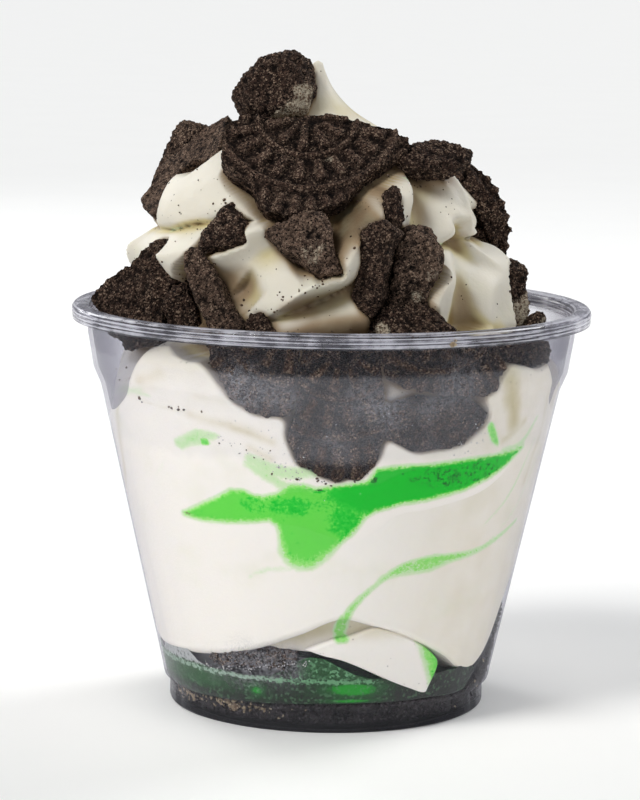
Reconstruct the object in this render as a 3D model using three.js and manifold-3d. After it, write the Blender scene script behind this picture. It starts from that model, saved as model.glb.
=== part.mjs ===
// A soft-serve sundae in a squat clear cup. Millimetres, +Z up, the cup's axis is the Z axis
// and the cup stands on z = 0. The front is at -Y, and azimuths are degrees from the front,
// positive towards +X.
import * as THREE from 'three';
import { mergeVertices } from 'three/addons/utils/BufferGeometryUtils.js';
import Module from 'manifold-3d';

const wasm = await Module();
wasm.setup();

// ---------------------------------------------------------------- driving dimensions

// Cup
const WALL = 0.8;
const FOOT_RADIUS = 28.1;
const FOOT_HEIGHT = 3.6;
const CONE_FOOT_RADIUS = 29.5;
const CONE_FOOT_HEIGHT = 6.4;
const CONE_TOP_RADIUS = 40.8;
const CONE_TOP_HEIGHT = 57;
const BAND_LOW_RADIUS = 42.1;
const BAND_LOW_HEIGHT = 60;
const BAND_TOP_RADIUS = 43.1;
const BAND_TOP_HEIGHT = 66;
const RIM_RADIUS = 46;
const RIM_HEIGHT = 71.3;
const LIP_DEPTH = 2.7;
const FLOOR_HEIGHT = 1.3;
const FOOT_RECESS = 0.5;
const FOOT_RING_WIDTH = 3;
const CUP_SIDES = 40;
const OPEN_TOP = 130;

// Clearance between pieces that touch
const GAP = 0.35;
const HEAP_GAP = 0.6;
const SOCKET_GAP = 0.45;

// Ice cream
const PEAK_HEIGHT = 114;
const SWIRL_START = 60;
const FINE_STEP = 6;
const COARSE_STEP = 8;
const FINE_HALF_ANGLE = 108;
const MM_PER_DEGREE = 0.5;
const BOTTOM_HEIGHT = 9.5;
const BOTTOM_RADIUS = 12;
const BOTTOM_SHOULDER = 21;
const WALL_ROWS = 8;
const SWIRL_ROW = 2.5;
const PEAK_START = 102;
const PEAK_ROW = 4;

// Syrup and crumbs
const SYRUP_LEVEL = 9.6;
const SYRUP_INNER_RADIUS = 21;
const POOL_START = -132;
const POOL_END = 60;
const POOL_STEP = 8;
const RIBBON_DEPTH = 4.5;
const RIBBON_SIDES = 8;
const BED_COLUMNS = 30;
const CRUMB_COUNT = 22;

// Cookies
const WAFER = 4.2;
const CORNER_SPACING = 4.4;

// The pieces' outlines are drawn on the upright plane through the axis as they are seen from
// this point, and carried along the lines of sight to where each piece lies.
const EYE = new THREE.Vector3(0, -545, 134);

// ---------------------------------------------------------------- helpers

const degrees = THREE.MathUtils.degToRad;

// Same numbers at every run
function seeded(seed) {
  let state = seed * 2654435761 % 4294967296;
  return () => {
    state = (state * 1664525 + 1013904223) % 4294967296;
    return state / 4294967296;
  };
}

// Smooth curve through [x, y] pairs, read at x; x may run round a full turn
function curveThrough(pairs, turn = 0) {
  const points = turn
    ? [-1, 0, 1].flatMap((n) => pairs.map(([x, y]) => [x + n * turn, y]))
    : pairs;
  const slope = (i) => {
    const before = points[Math.max(i - 1, 0)];
    const after = points[Math.min(i + 1, points.length - 1)];
    return (after[1] - before[1]) / (after[0] - before[0]);
  };
  return (x) => {
    let i = points.findIndex(([px]) => px > x) - 1;
    if (i === -2) i = points.length - 2;
    i = Math.max(i, 0);
    const [x0, y0] = points[i];
    const [x1, y1] = points[i + 1];
    const width = x1 - x0;
    const t = THREE.MathUtils.clamp((x - x0) / width, 0, 1);
    const a = slope(i) * width;
    const b = slope(i + 1) * width;
    const rise = y1 - y0;
    return y0 + t * (a + t * (3 * rise - 2 * a - b + t * (a + b - 2 * rise)));
  };
}

// Straight lines through [x, y] pairs, read at x
function curveInLines(pairs) {
  return (x) => {
    const beyond = pairs.findIndex(([px]) => px > x);
    const i = beyond < 0 ? pairs.length - 1 : Math.max(beyond, 1);
    const [x0, y0] = pairs[i - 1];
    const [x1, y1] = pairs[i];
    const t = THREE.MathUtils.clamp((x - x0) / (x1 - x0), 0, 1);
    return y0 + t * (y1 - y0);
  };
}

const aroundAxis = (radius, azimuth, z) => new THREE.Vector3(
  radius * Math.sin(degrees(azimuth)),
  -radius * Math.cos(degrees(azimuth)),
  z,
);

// A closed skin of rows of points, each row a ring, with a point closing either end
function closedSkin(rings, firstEnd, lastEnd) {
  const columns = rings[0].length;
  const points = [firstEnd, ...rings.flat(), lastEnd];
  const last = points.length - 1;
  const at = (row, column) => 1 + row * columns + (column % columns);
  const index = [];
  for (let i = 0; i < columns; i++) {
    index.push(0, at(0, i + 1), at(0, i));
    index.push(last, at(rings.length - 1, i), at(rings.length - 1, i + 1));
    for (let j = 0; j + 1 < rings.length; j++) {
      index.push(at(j, i), at(j, i + 1), at(j + 1, i + 1));
      index.push(at(j, i), at(j + 1, i + 1), at(j + 1, i));
    }
  }
  const geometry = new THREE.BufferGeometry().setFromPoints(points);
  geometry.setIndex(index);
  return geometry;
}

// A closed skin of rings of points, with a flat cap on either end that follows the outline
function cappedSkin(rings, outline) {
  const columns = outline.length;
  const at = (row, column) => row * columns + (column % columns);
  const index = [];
  for (let j = 0; j + 1 < rings.length; j++) {
    for (let i = 0; i < columns; i++) {
      index.push(at(j, i), at(j, i + 1), at(j + 1, i + 1));
      index.push(at(j, i), at(j + 1, i + 1), at(j + 1, i));
    }
  }
  for (const [a, b, c] of THREE.ShapeUtils.triangulateShape(outline, [])) {
    index.push(a, c, b);
    index.push(at(rings.length - 1, a), at(rings.length - 1, b), at(rings.length - 1, c));
  }
  const geometry = new THREE.BufferGeometry().setFromPoints(rings.flat());
  geometry.setIndex(index);
  return geometry;
}

// A profile of [radius, height] pairs turned round the axis
function turned(profile, sides = CUP_SIDES) {
  const points = profile.map(([radius, height]) => new THREE.Vector2(radius, height));
  return new THREE.LatheGeometry(points, sides).rotateX(Math.PI / 2);
}

// Geometry to a solid that can be joined and cut
function solidOf(geometry) {
  const bare = geometry.clone();
  bare.deleteAttribute('normal');
  bare.deleteAttribute('uv');
  const merged = mergeVertices(bare, 1e-4);
  const corners = Array.from(merged.index.array);
  const kept = [];
  for (let i = 0; i < corners.length; i += 3) {
    const [a, b, c] = corners.slice(i, i + 3);
    if (a !== b && b !== c && c !== a) kept.push(a, b, c);
  }
  return new wasm.Manifold(new wasm.Mesh({
    numProp: 3,
    vertProperties: new Float32Array(merged.attributes.position.array),
    triVerts: new Uint32Array(kept),
  }));
}

function geometryOf(solid) {
  const { vertProperties, triVerts } = solid.getMesh();
  const geometry = new THREE.BufferGeometry();
  geometry.setAttribute('position', new THREE.BufferAttribute(vertProperties, 3));
  geometry.setIndex(new THREE.BufferAttribute(triVerts, 1));
  geometry.computeVertexNormals();
  return geometry;
}

// What a cut leaves may fall apart: the largest piece is kept
function largest(solid) {
  return solid.decompose().reduce((a, b) => (a.volume() > b.volume() ? a : b));
}

// ---------------------------------------------------------------- cup

const outerWall = [
  [FOOT_RADIUS - 0.5, 0],
  [FOOT_RADIUS, 0.5],
  [FOOT_RADIUS, FOOT_HEIGHT],
  [CONE_FOOT_RADIUS - 0.3, CONE_FOOT_HEIGHT - 1.6],
  [CONE_FOOT_RADIUS, CONE_FOOT_HEIGHT],
  [CONE_TOP_RADIUS, CONE_TOP_HEIGHT],
  [BAND_LOW_RADIUS, BAND_LOW_HEIGHT],
  [BAND_TOP_RADIUS, BAND_TOP_HEIGHT],
];

const innerRadius = curveInLines([
  [0, FOOT_RADIUS - WALL],
  ...outerWall.slice(2).map(([radius, height]) => [height, radius - WALL]),
  [RIM_HEIGHT, BAND_TOP_RADIUS],
]);

// The wall turns over at the top into a lip that is open underneath
function cupProfile() {
  const crest = BAND_TOP_RADIUS + (RIM_RADIUS - BAND_TOP_RADIUS) / 2;
  const lipBottom = RIM_HEIGHT - LIP_DEPTH;
  const underLip = [
    [BAND_TOP_RADIUS + 0.3, lipBottom + 0.9],
    [crest - 0.2, RIM_HEIGHT - WALL - 0.3],
    [RIM_RADIUS - WALL, RIM_HEIGHT - WALL - 0.8],
    [RIM_RADIUS - WALL, lipBottom],
  ];
  const overLip = [
    [RIM_RADIUS - 0.1, lipBottom],
    [RIM_RADIUS, RIM_HEIGHT - 1.2],
    [RIM_RADIUS - 0.4, RIM_HEIGHT - 0.4],
    [crest, RIM_HEIGHT],
    [BAND_TOP_RADIUS + 0.2, RIM_HEIGHT - 0.5],
    [BAND_TOP_RADIUS - WALL + 0.3, lipBottom + 0.6],
  ];
  const inside = outerWall.slice(2).reverse().map(([radius, height]) => [radius - WALL, height]);
  const foot = FOOT_RADIUS - FOOT_RING_WIDTH;
  return [
    [0, FOOT_RECESS],
    [foot - FOOT_RECESS, FOOT_RECESS],
    [foot, 0],
    ...outerWall,
    ...underLip,
    ...overLip,
    ...inside,
    [FOOT_RADIUS - WALL, FLOOR_HEIGHT],
    [0, FLOOR_HEIGHT],
  ];
}

// The room that the contents may fill: inside the wall, and above the lip out to any width
function roomForContents() {
  const floor = FLOOR_HEIGHT + GAP;
  const over = RIM_HEIGHT + GAP;
  const side = outerWall.slice(2).map(([radius, height]) => [radius - WALL - GAP, height]);
  return solidOf(turned([
    [0, floor],
    [innerRadius(floor) - GAP, floor],
    ...side,
    [BAND_TOP_RADIUS - WALL - GAP, RIM_HEIGHT - 1.2],
    [BAND_TOP_RADIUS - GAP, over],
    [RIM_RADIUS - 0.5, over],
    [RIM_RADIUS - 0.5, OPEN_TOP],
    [0, OPEN_TOP],
  ]));
}

// ---------------------------------------------------------------- ice cream

// The axis of the swirl leans a little to the left as it rises
const swirlShiftX = curveThrough([[0, 0], [66, 0], [75, -1], [86, -3.3], [100, -3.4], [114, -3]]);

// Radius of the smooth mound at each height
const moundRadius = curveThrough([
  [0, 60], [44, 44], [48, 40.2], [56, 38.1], [60, 37.2], [63, 35.8], [66, 34], [70, 32.8],
  [75, 32.3], [80, 31.8], [84, 29.8], [88, 28.2], [91, 26.7], [94, 24.2], [97, 20.4],
  [100, 14.5], [103, 9], [106, 5.6], [109, 3.4], [112, 1.9], [PEAK_HEIGHT, 1],
]);

// A fold is a line on the mound, given as [azimuth, height] pairs. It stands out or cuts in
// by its height, and falls off over a width on its upper-left side and one on its other side.
// Sharp folds come to a crest or crease, soft ones are rounded.
function fold({ line, height, above, below, sharp = true }) {
  const curve = new THREE.SplineCurve(
    line.map(([azimuth, z]) => new THREE.Vector2(azimuth * MM_PER_DEGREE, z)),
  );
  const steps = 10 * (line.length - 1);
  const points = curve.getPoints(steps);
  const middle = points[Math.floor(steps / 2)].x;
  const turn = 360 * MM_PER_DEGREE;
  return (azimuth, z) => {
    const along = azimuth * MM_PER_DEGREE;
    const s = along - turn * Math.round((along - middle) / turn);
    let best = { distance: Infinity };
    for (let i = 0; i < steps; i++) {
      const dx = points[i + 1].x - points[i].x;
      const dz = points[i + 1].y - points[i].y;
      const px = s - points[i].x;
      const pz = z - points[i].y;
      const t = THREE.MathUtils.clamp((px * dx + pz * dz) / (dx * dx + dz * dz), 0, 1);
      const distance = Math.hypot(px - t * dx, pz - t * dz);
      if (distance < best.distance) {
        best = { distance, side: dx * pz - dz * px, t: (i + t) / steps };
      }
    }
    const width = best.side > 0 ? above : below;
    const reach = Math.min(best.distance / width, 1);
    const ends = Math.min(1, 6 * best.t, 6 * (1 - best.t));
    const shape = sharp ? (1 - reach) ** 2 : (1 - reach * reach) ** 2;
    return height * shape * ends * (2 - ends);
  };
}

const folds = [
  // creases between one turn of the swirl and the next
  fold({
    line: [[-120, 84], [-92, 84.8], [-60, 85.6], [-22, 88.4], [2, 91.5], [30, 95.5]],
    height: -3, above: 3, below: 4,
  }),
  fold({
    line: [[-26, 68.5], [-8, 72.6], [6, 76.6], [16, 80], [30, 80.3], [42, 80.6], [60, 82.4],
      [80, 84], [120, 86], [170, 87], [215, 86], [248, 84]],
    height: -4.5, above: 5, below: 4.5,
  }),
  fold({
    line: [[-175, 66], [-120, 67], [-62, 69.5], [-30, 67.5], [0, 65], [30, 64.5], [62, 64.5],
      [100, 65], [140, 66], [180, 66]],
    height: -3, above: 4, below: 3,
  }),
  // the steep ridge in front and the hollows on either side
  fold({
    line: [[-26, 69.5], [-12, 75.5], [3, 80.6], [10, 85.6], [18, 91.4], [26, 97]],
    height: 3.4, above: 9, below: 4,
  }),
  fold({
    line: [[-8, 78], [0, 83], [5, 87], [12, 93]],
    height: -2.6, above: 6, below: 4, sharp: false,
  }),
  fold({
    line: [[-46, 70], [-36, 74], [-24, 79]],
    height: -2.2, above: 7, below: 7, sharp: false,
  }),
  // the ridge on the left that runs up under the wafer
  fold({
    line: [[-64, 78], [-50, 80.5], [-38, 82.6], [-23, 86], [-8, 89]],
    height: 2.4, above: 4, below: 9,
  }),
  // the low lobe at the foot, in the shade of the steep ridge
  fold({
    line: [[-24, 65.5], [-4, 69], [10, 72.5], [24, 75]],
    height: 1.8, above: 4, below: 6, sharp: false,
  }),
  // ribs on the right
  fold({ line: [[30, 99], [35, 92], [37, 85], [36, 82]], height: 1.2, above: 8, below: 8 }),
  fold({ line: [[64, 84], [68, 90], [70, 96]], height: 1.8, above: 7, below: 6 }),
  fold({ line: [[39, 80], [40, 73], [38, 65]], height: 2.4, above: 8, below: 7 }),
  fold({ line: [[82, 81.5], [85, 73], [82, 65]], height: 1.6, above: 8, below: 8 }),
  // the dent that the front wafer lies in
  fold({
    line: [[-30, 96], [-10, 94], [10, 95], [26, 98]],
    height: -3, above: 8, below: 6, sharp: false,
  }),
  // room for the pieces between the ice cream and the front of the wall
  fold({
    line: [[-30, 62], [-10, 57], [8, 53], [26, 56], [44, 60]],
    height: -5.5, above: 15, below: 12, sharp: false,
  }),
  ...backRibs(),
];

// Behind, ribs like those on the right go on round each turn
function backRibs() {
  const ribs = [];
  for (const azimuth of [118, 152, 186, 220, 252]) {
    ribs.push(fold({
      line: [[azimuth - 10, 65], [azimuth, 74], [azimuth + 16, 84]],
      height: 3, above: 9, below: 6,
    }));
  }
  for (const azimuth of [104, 142, 180, 218]) {
    ribs.push(fold({
      line: [[azimuth - 8, 86.5], [azimuth + 2, 92], [azimuth + 18, 99]],
      height: 2.6, above: 8, below: 5,
    }));
  }
  return ribs;
}

function creamRadius(azimuth, z) {
  const free = folds.reduce(
    (radius, shape) => radius + shape(azimuth, z) * Math.min(1, (PEAK_HEIGHT - z) / 12),
    moundRadius(z),
  );
  const wall = z < RIM_HEIGHT ? innerRadius(z) - GAP : Infinity;
  return Math.min(Math.max(free, 0.6), wall);
}

// Lower edge of the ice cream on the wall, with a lobe that hangs low on the right
const lowerEdge = curveThrough([
  [-160, 12], [-135, 10], [-105, 13], [-73, 10.9], [-52, 11.6], [-39, 12.5], [-23, 14.6],
  [-8, 17.8], [4, 20.6], [14, 19.4], [22, 17.8], [31, 15.6], [43, 12.2], [51, 9.4],
  [60, 8.8], [68, 12], [75, 20], [84, 24.5], [100, 24], [122, 19], [145, 12], [170, 14],
], 360);

function creamBody(grow = 0) {
  const azimuths = [];
  for (let a = -FINE_HALF_ANGLE; a < FINE_HALF_ANGLE; a += FINE_STEP) azimuths.push(a);
  for (let a = FINE_HALF_ANGLE; a < 360 - FINE_HALF_ANGLE; a += COARSE_STEP) azimuths.push(a);
  const ring = (pointAt) => azimuths.map(pointAt);
  const swirlPoint = (azimuth, z) => {
    const point = aroundAxis(creamRadius(azimuth, z) + grow, azimuth, z);
    return point.setX(point.x + swirlShiftX(z));
  };
  const edgePoint = (azimuth, inwards, lift) => {
    const z = lowerEdge(azimuth);
    return aroundAxis(innerRadius(z) - inwards, azimuth, z + lift - grow);
  };
  const shoulderHeight = (azimuth) => (BOTTOM_HEIGHT + lowerEdge(azimuth)) / 2 - 0.4;
  const rings = [
    ring((a) => aroundAxis(BOTTOM_RADIUS, a, BOTTOM_HEIGHT - grow)),
    ring((a) => aroundAxis(BOTTOM_SHOULDER, a, shoulderHeight(a) - grow)),
    ring((a) => edgePoint(a, 2.6, -1.4)),
    ring((a) => edgePoint(a, 0.7 - grow, 0.4)),
  ];
  for (let row = 0; row < WALL_ROWS; row++) {
    const height = (a) => THREE.MathUtils.lerp(lowerEdge(a) + 2, SWIRL_START, row / WALL_ROWS);
    rings.push(ring((a) => swirlPoint(a, height(a))));
  }
  for (let z = SWIRL_START; z < PEAK_START - SWIRL_ROW / 2; z += SWIRL_ROW) {
    rings.push(ring((a) => swirlPoint(a, z)));
  }
  for (let z = PEAK_START; z < PEAK_HEIGHT; z += PEAK_ROW) {
    rings.push(ring((a) => swirlPoint(a, z)));
  }
  return solidOf(closedSkin(
    rings,
    new THREE.Vector3(0, 0, BOTTOM_HEIGHT - grow),
    new THREE.Vector3(swirlShiftX(PEAK_HEIGHT), 0, PEAK_HEIGHT + grow),
  ));
}

// The fold that hangs below the others in front, an outline on the wall in [azimuth, height]
const lowFold = {
  outline: [[-22, 15.4], [-7, 13.4], [10, 11], [26, 8.2], [35, 6.8], [39, 9], [42, 13.4],
    [33, 17], [18, 20.5], [0, 21], [-14, 18]],
  inset: 0.5,
  depth: 9,
};

// A pillow against the wall, rounded towards its edge
function wallLobe({ outline, inset, depth }, grow = 0) {
  const corners = resample(outline.map(([azimuth, z]) => new THREE.Vector2(azimuth, z)), 5);
  const centre = corners.reduce((sum, p) => sum.add(p), new THREE.Vector2())
    .divideScalar(corners.length);
  const layers = [[depth, 0.7], [depth * 0.5, 0.97], [1.2, 1], [0.3, 0.92], [0, 0.8]];
  const rings = layers.map(([inwards, scale]) => corners.map((corner) => {
    const [azimuth, z] = corner.clone().sub(centre).multiplyScalar(scale + grow / 6).add(centre);
    return aroundAxis(innerRadius(z) - GAP - inset - inwards + grow, azimuth, z);
  }));
  const end = (inwards) => aroundAxis(
    innerRadius(centre.y) - GAP - inset - inwards + grow, centre.x, centre.y);
  return solidOf(closedSkin(rings, end(depth), end(0)));
}

// ---------------------------------------------------------------- syrup

// Stations along the wall, each [azimuth, lower edge, upper edge]
const ribbonStations = [
  [-42, 37.9, 38.4], [-34, 37.8, 40.8], [-27, 37.8, 42.8], [-18, 37.8, 42.5], [-8, 37.6, 43.6],
  [0, 36, 44.4], [6, 34.8, 44.7], [12, 36.4, 45], [18, 39.4, 46.8], [26, 40.2, 47.9],
  [34, 41, 48.4], [44, 42.4, 48.6], [51, 44.6, 48.8], [57, 48, 48.9],
];

// A band of syrup against the wall, rounded on its inner side
function wallBand(stations, depth, grow = 0) {
  const sections = stations.map(([azimuth, low, high]) => {
    const half = (high - low) / 2 + grow;
    const inwards = Math.min(depth, 1.2 + half) + 2.4 * grow;
    return Array.from({ length: RIBBON_SIDES }, (_, i) => {
      const angle = 2 * Math.PI * (i + 0.5) / RIBBON_SIDES;
      const z = (low + high) / 2 + half * Math.sin(angle);
      const radius = innerRadius(z) - GAP + grow - inwards * Math.max(0, Math.cos(angle));
      return aroundAxis(radius, azimuth, z);
    });
  });
  const end = ([azimuth, low, high], outwards) => {
    const z = (low + high) / 2;
    return aroundAxis(innerRadius(z) - GAP - 0.5, azimuth + outwards * (1.2 + grow), z);
  };
  return solidOf(closedSkin(sections, end(stations[0], -1), end(stations.at(-1), 1)));
}

// The syrup lies on the crumbs, all round where they are lower than its level
function syrupPool() {
  const wallPoint = (azimuth, z, onHeight = z) =>
    aroundAxis(innerRadius(onHeight) - GAP, azimuth, z);
  const sections = [];
  for (let azimuth = POOL_START; azimuth <= POOL_END; azimuth += POOL_STEP) {
    const bed = crumbHeight(azimuth) + 1.2;
    const knee = Math.max(bed + 0.1, CONE_FOOT_HEIGHT);
    sections.push([
      aroundAxis(SYRUP_INNER_RADIUS, azimuth, Math.min(bed + 3, SYRUP_LEVEL - 1.6)),
      aroundAxis(SYRUP_INNER_RADIUS, azimuth, SYRUP_LEVEL - 1),
      wallPoint(azimuth, SYRUP_LEVEL),
      wallPoint(azimuth, knee, CONE_FOOT_HEIGHT),
      wallPoint(azimuth, bed),
    ]);
  }
  const middleRadius = (SYRUP_INNER_RADIUS + innerRadius(SYRUP_LEVEL)) / 2;
  const middle = (azimuth) => aroundAxis(middleRadius, azimuth, SYRUP_LEVEL - 2);
  return solidOf(closedSkin(sections, middle(POOL_START - 3), middle(POOL_END + 3)));
}

// ---------------------------------------------------------------- crumb bed

// Height of the crumbs on the wall: low in front, banked up at the right and behind
const crumbHeight = curveThrough([
  [-150, 7], [-110, 6.2], [-65, 3.6], [-28, 4.3], [2, 4.9], [35, 4.9], [60, 5.4], [74, 12],
  [90, 17], [115, 13], [150, 8],
], 360);

// A bed with a rough top, and crumbs that stand out of it against the wall
function crumbBed() {
  const floor = FLOOR_HEIGHT + GAP;
  const random = seeded(11);
  const lump = () => (random() - 0.5) * 1.1;
  const layer = (radius, height, rough) => Array.from({ length: BED_COLUMNS }, (_, i) => {
    const azimuth = i * 360 / BED_COLUMNS;
    const z = height(azimuth) + rough * lump();
    return aroundAxis(radius(z) + 0.4 * rough * lump(), azimuth, z);
  });
  const nearWall = (z) => innerRadius(z) - GAP - 0.4;
  const rings = [
    layer(() => FOOT_RADIUS - WALL - GAP - 0.6, () => floor + 0.2, 0),
    layer(nearWall, (a) => crumbHeight(a) * 0.45 + 1, 0.6),
    layer(nearWall, (a) => crumbHeight(a), 0.9),
    layer(() => 19, (a) => 6.6 + 0.3 * (crumbHeight(a) - 6), 1),
    layer(() => 9, () => 7.6, 1),
  ];
  let bed = solidOf(closedSkin(
    rings,
    new THREE.Vector3(0, 0, floor + 0.1),
    new THREE.Vector3(0, 0, 7.4),
  ));
  const draw = seeded(23);
  for (let i = 0; i < CRUMB_COUNT; i++) {
    const azimuth = -180 + 360 * (i + 0.6 * draw()) / CRUMB_COUNT;
    const size = 0.9 + 0.5 * draw();
    const lowest = floor + size;
    const z = lowest + Math.max(0, crumbHeight(azimuth) + 0.5 - size - lowest) * draw();
    const turn = new THREE.Euler(3 * draw(), 3 * draw(), 3 * draw());
    const narrowest = Math.min(innerRadius(z - size), innerRadius(z));
    const place = aroundAxis(narrowest - GAP - size, azimuth, z);
    const crumb = new THREE.IcosahedronGeometry(size, 0)
      .applyQuaternion(new THREE.Quaternion().setFromEuler(turn))
      .translate(place.x, place.y, place.z);
    bed = bed.add(solidOf(crumb));
  }
  return bed;
}

// ---------------------------------------------------------------- broken cookies

// A closed outline with corners no further apart than the spacing
function resample(corners, spacing) {
  return corners.flatMap((corner, i) => {
    const next = corners[(i + 1) % corners.length];
    const parts = Math.max(1, Math.round(corner.distanceTo(next) / spacing));
    return Array.from({ length: parts }, (_, k) => corner.clone().lerp(next, k / parts));
  });
}

// The same outline, counter-clockwise, moved outwards by a distance
function widened(outline, distance) {
  return outline.map((corner, i) => {
    const before = outline.at(i - 1);
    const after = outline[(i + 1) % outline.length];
    const inTo = corner.clone().sub(before).normalize();
    const onFrom = after.clone().sub(corner).normalize();
    const outwards = new THREE.Vector2(inTo.y + onFrom.y, -inTo.x - onFrom.x).normalize();
    const slant = Math.max(0.5, outwards.dot(new THREE.Vector2(inTo.y, -inTo.x)));
    return corner.clone().addScaledVector(outwards, distance / slant);
  });
}

function facingFrame([azimuth, elevation]) {
  const a = degrees(azimuth);
  const e = degrees(elevation);
  const normal = new THREE.Vector3(
    Math.sin(a) * Math.cos(e), -Math.cos(a) * Math.cos(e), Math.sin(e));
  const right = new THREE.Vector3(Math.cos(a), Math.sin(a), 0);
  return { normal, right, up: normal.clone().cross(right) };
}

// Where the line of sight through [x, z] on the upright plane meets a depth
function sighted([x, z], depth) {
  return EYE.clone().lerp(new THREE.Vector3(x, 0, z), 1 + depth / -EYE.y);
}

// Where it meets the ice cream
function onCream(point) {
  for (let depth = -44; depth < 30; depth += 0.2) {
    const p = sighted(point, depth);
    const x = p.x - swirlShiftX(p.z);
    const azimuth = THREE.MathUtils.radToDeg(Math.atan2(x, -p.y));
    if (Math.hypot(x, p.y) < creamRadius(azimuth, p.z)) return p;
  }
  return sighted(point, 0);
}

// Where it meets the inside of the wall
function onWall(point) {
  let depth = -44;
  let p = sighted(point, depth);
  while (Math.hypot(p.x, p.y) > innerRadius(p.z)) {
    depth += 0.1;
    p = sighted(point, depth);
  }
  return p;
}

// The plane of a piece's face, which looks towards an azimuth and an elevation, with the
// outline carried to it along the lines of sight. It lies at a depth, or else stands a lift
// proud of the ice cream or of the inside of the wall.
function faceSeen({ seen, facing, lift = 0, depth, wall }) {
  const frame = facingFrame(facing);
  const mean = (axis) => seen.reduce((sum, point) => sum + point[axis], 0) / seen.length;
  const middle = [mean(0), mean(1)];
  let origin = wall ? onWall(middle) : onCream(middle);
  if (depth !== undefined) origin = sighted(middle, depth);
  origin.addScaledVector(frame.normal, lift);
  const outline = seen.map(([x, z]) => {
    const sight = new THREE.Vector3(x, 0, z).sub(EYE);
    const reach = origin.clone().sub(EYE).dot(frame.normal) / sight.dot(frame.normal);
    const p = EYE.clone().addScaledVector(sight, reach).sub(origin);
    return new THREE.Vector2(p.dot(frame.right), p.dot(frame.up));
  });
  return { ...frame, origin, outline };
}

// Layers of a piece from its back to its face, each [part of the thickness, scale]
const SLAB_LAYERS = [[1, 0.96], [0, 1]];
const LUMP_LAYERS = [[1, 0.62], [0.6, 1], [0.15, 0.94], [0, 0.66]];

// A broken piece goes back from its face by its thickness. Plain wafer keeps square edges,
// a lump narrows to both faces.
function brokenPiece({ face, thickness = WAFER, lump = false, seed }, grow = 0) {
  const { origin, normal, right, up } = face;
  const random = seeded(seed);
  const drawn = THREE.ShapeUtils.area(face.outline) < 0
    ? [...face.outline].reverse()
    : face.outline;
  const outline = resample(drawn, CORNER_SPACING);
  const centre = outline.reduce((sum, p) => sum.add(p), new THREE.Vector2())
    .divideScalar(outline.length);
  const rough = lump ? 0.45 : 0.3;
  const jitter = () => (random() - 0.5) * 2 * rough;
  const layers = lump ? LUMP_LAYERS : SLAB_LAYERS;
  const place = (x, y, back) => origin.clone()
    .addScaledVector(right, x)
    .addScaledVector(up, y)
    .addScaledVector(normal, -back);
  const rings = layers.map(([inwards, scale]) => {
    const ring = outline.map((corner) => {
      const spoke = corner.clone().sub(centre);
      return spoke.multiplyScalar(scale + jitter() / spoke.length()).add(centre);
    });
    const back = outline.map(() => inwards * thickness + 0.7 * jitter());
    const lift = inwards > 0.5 ? grow : -grow;
    return widened(ring, grow).map((p, i) => place(p.x, p.y, back[i] + lift));
  });
  return solidOf(cappedSkin(rings, outline));
}

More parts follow.
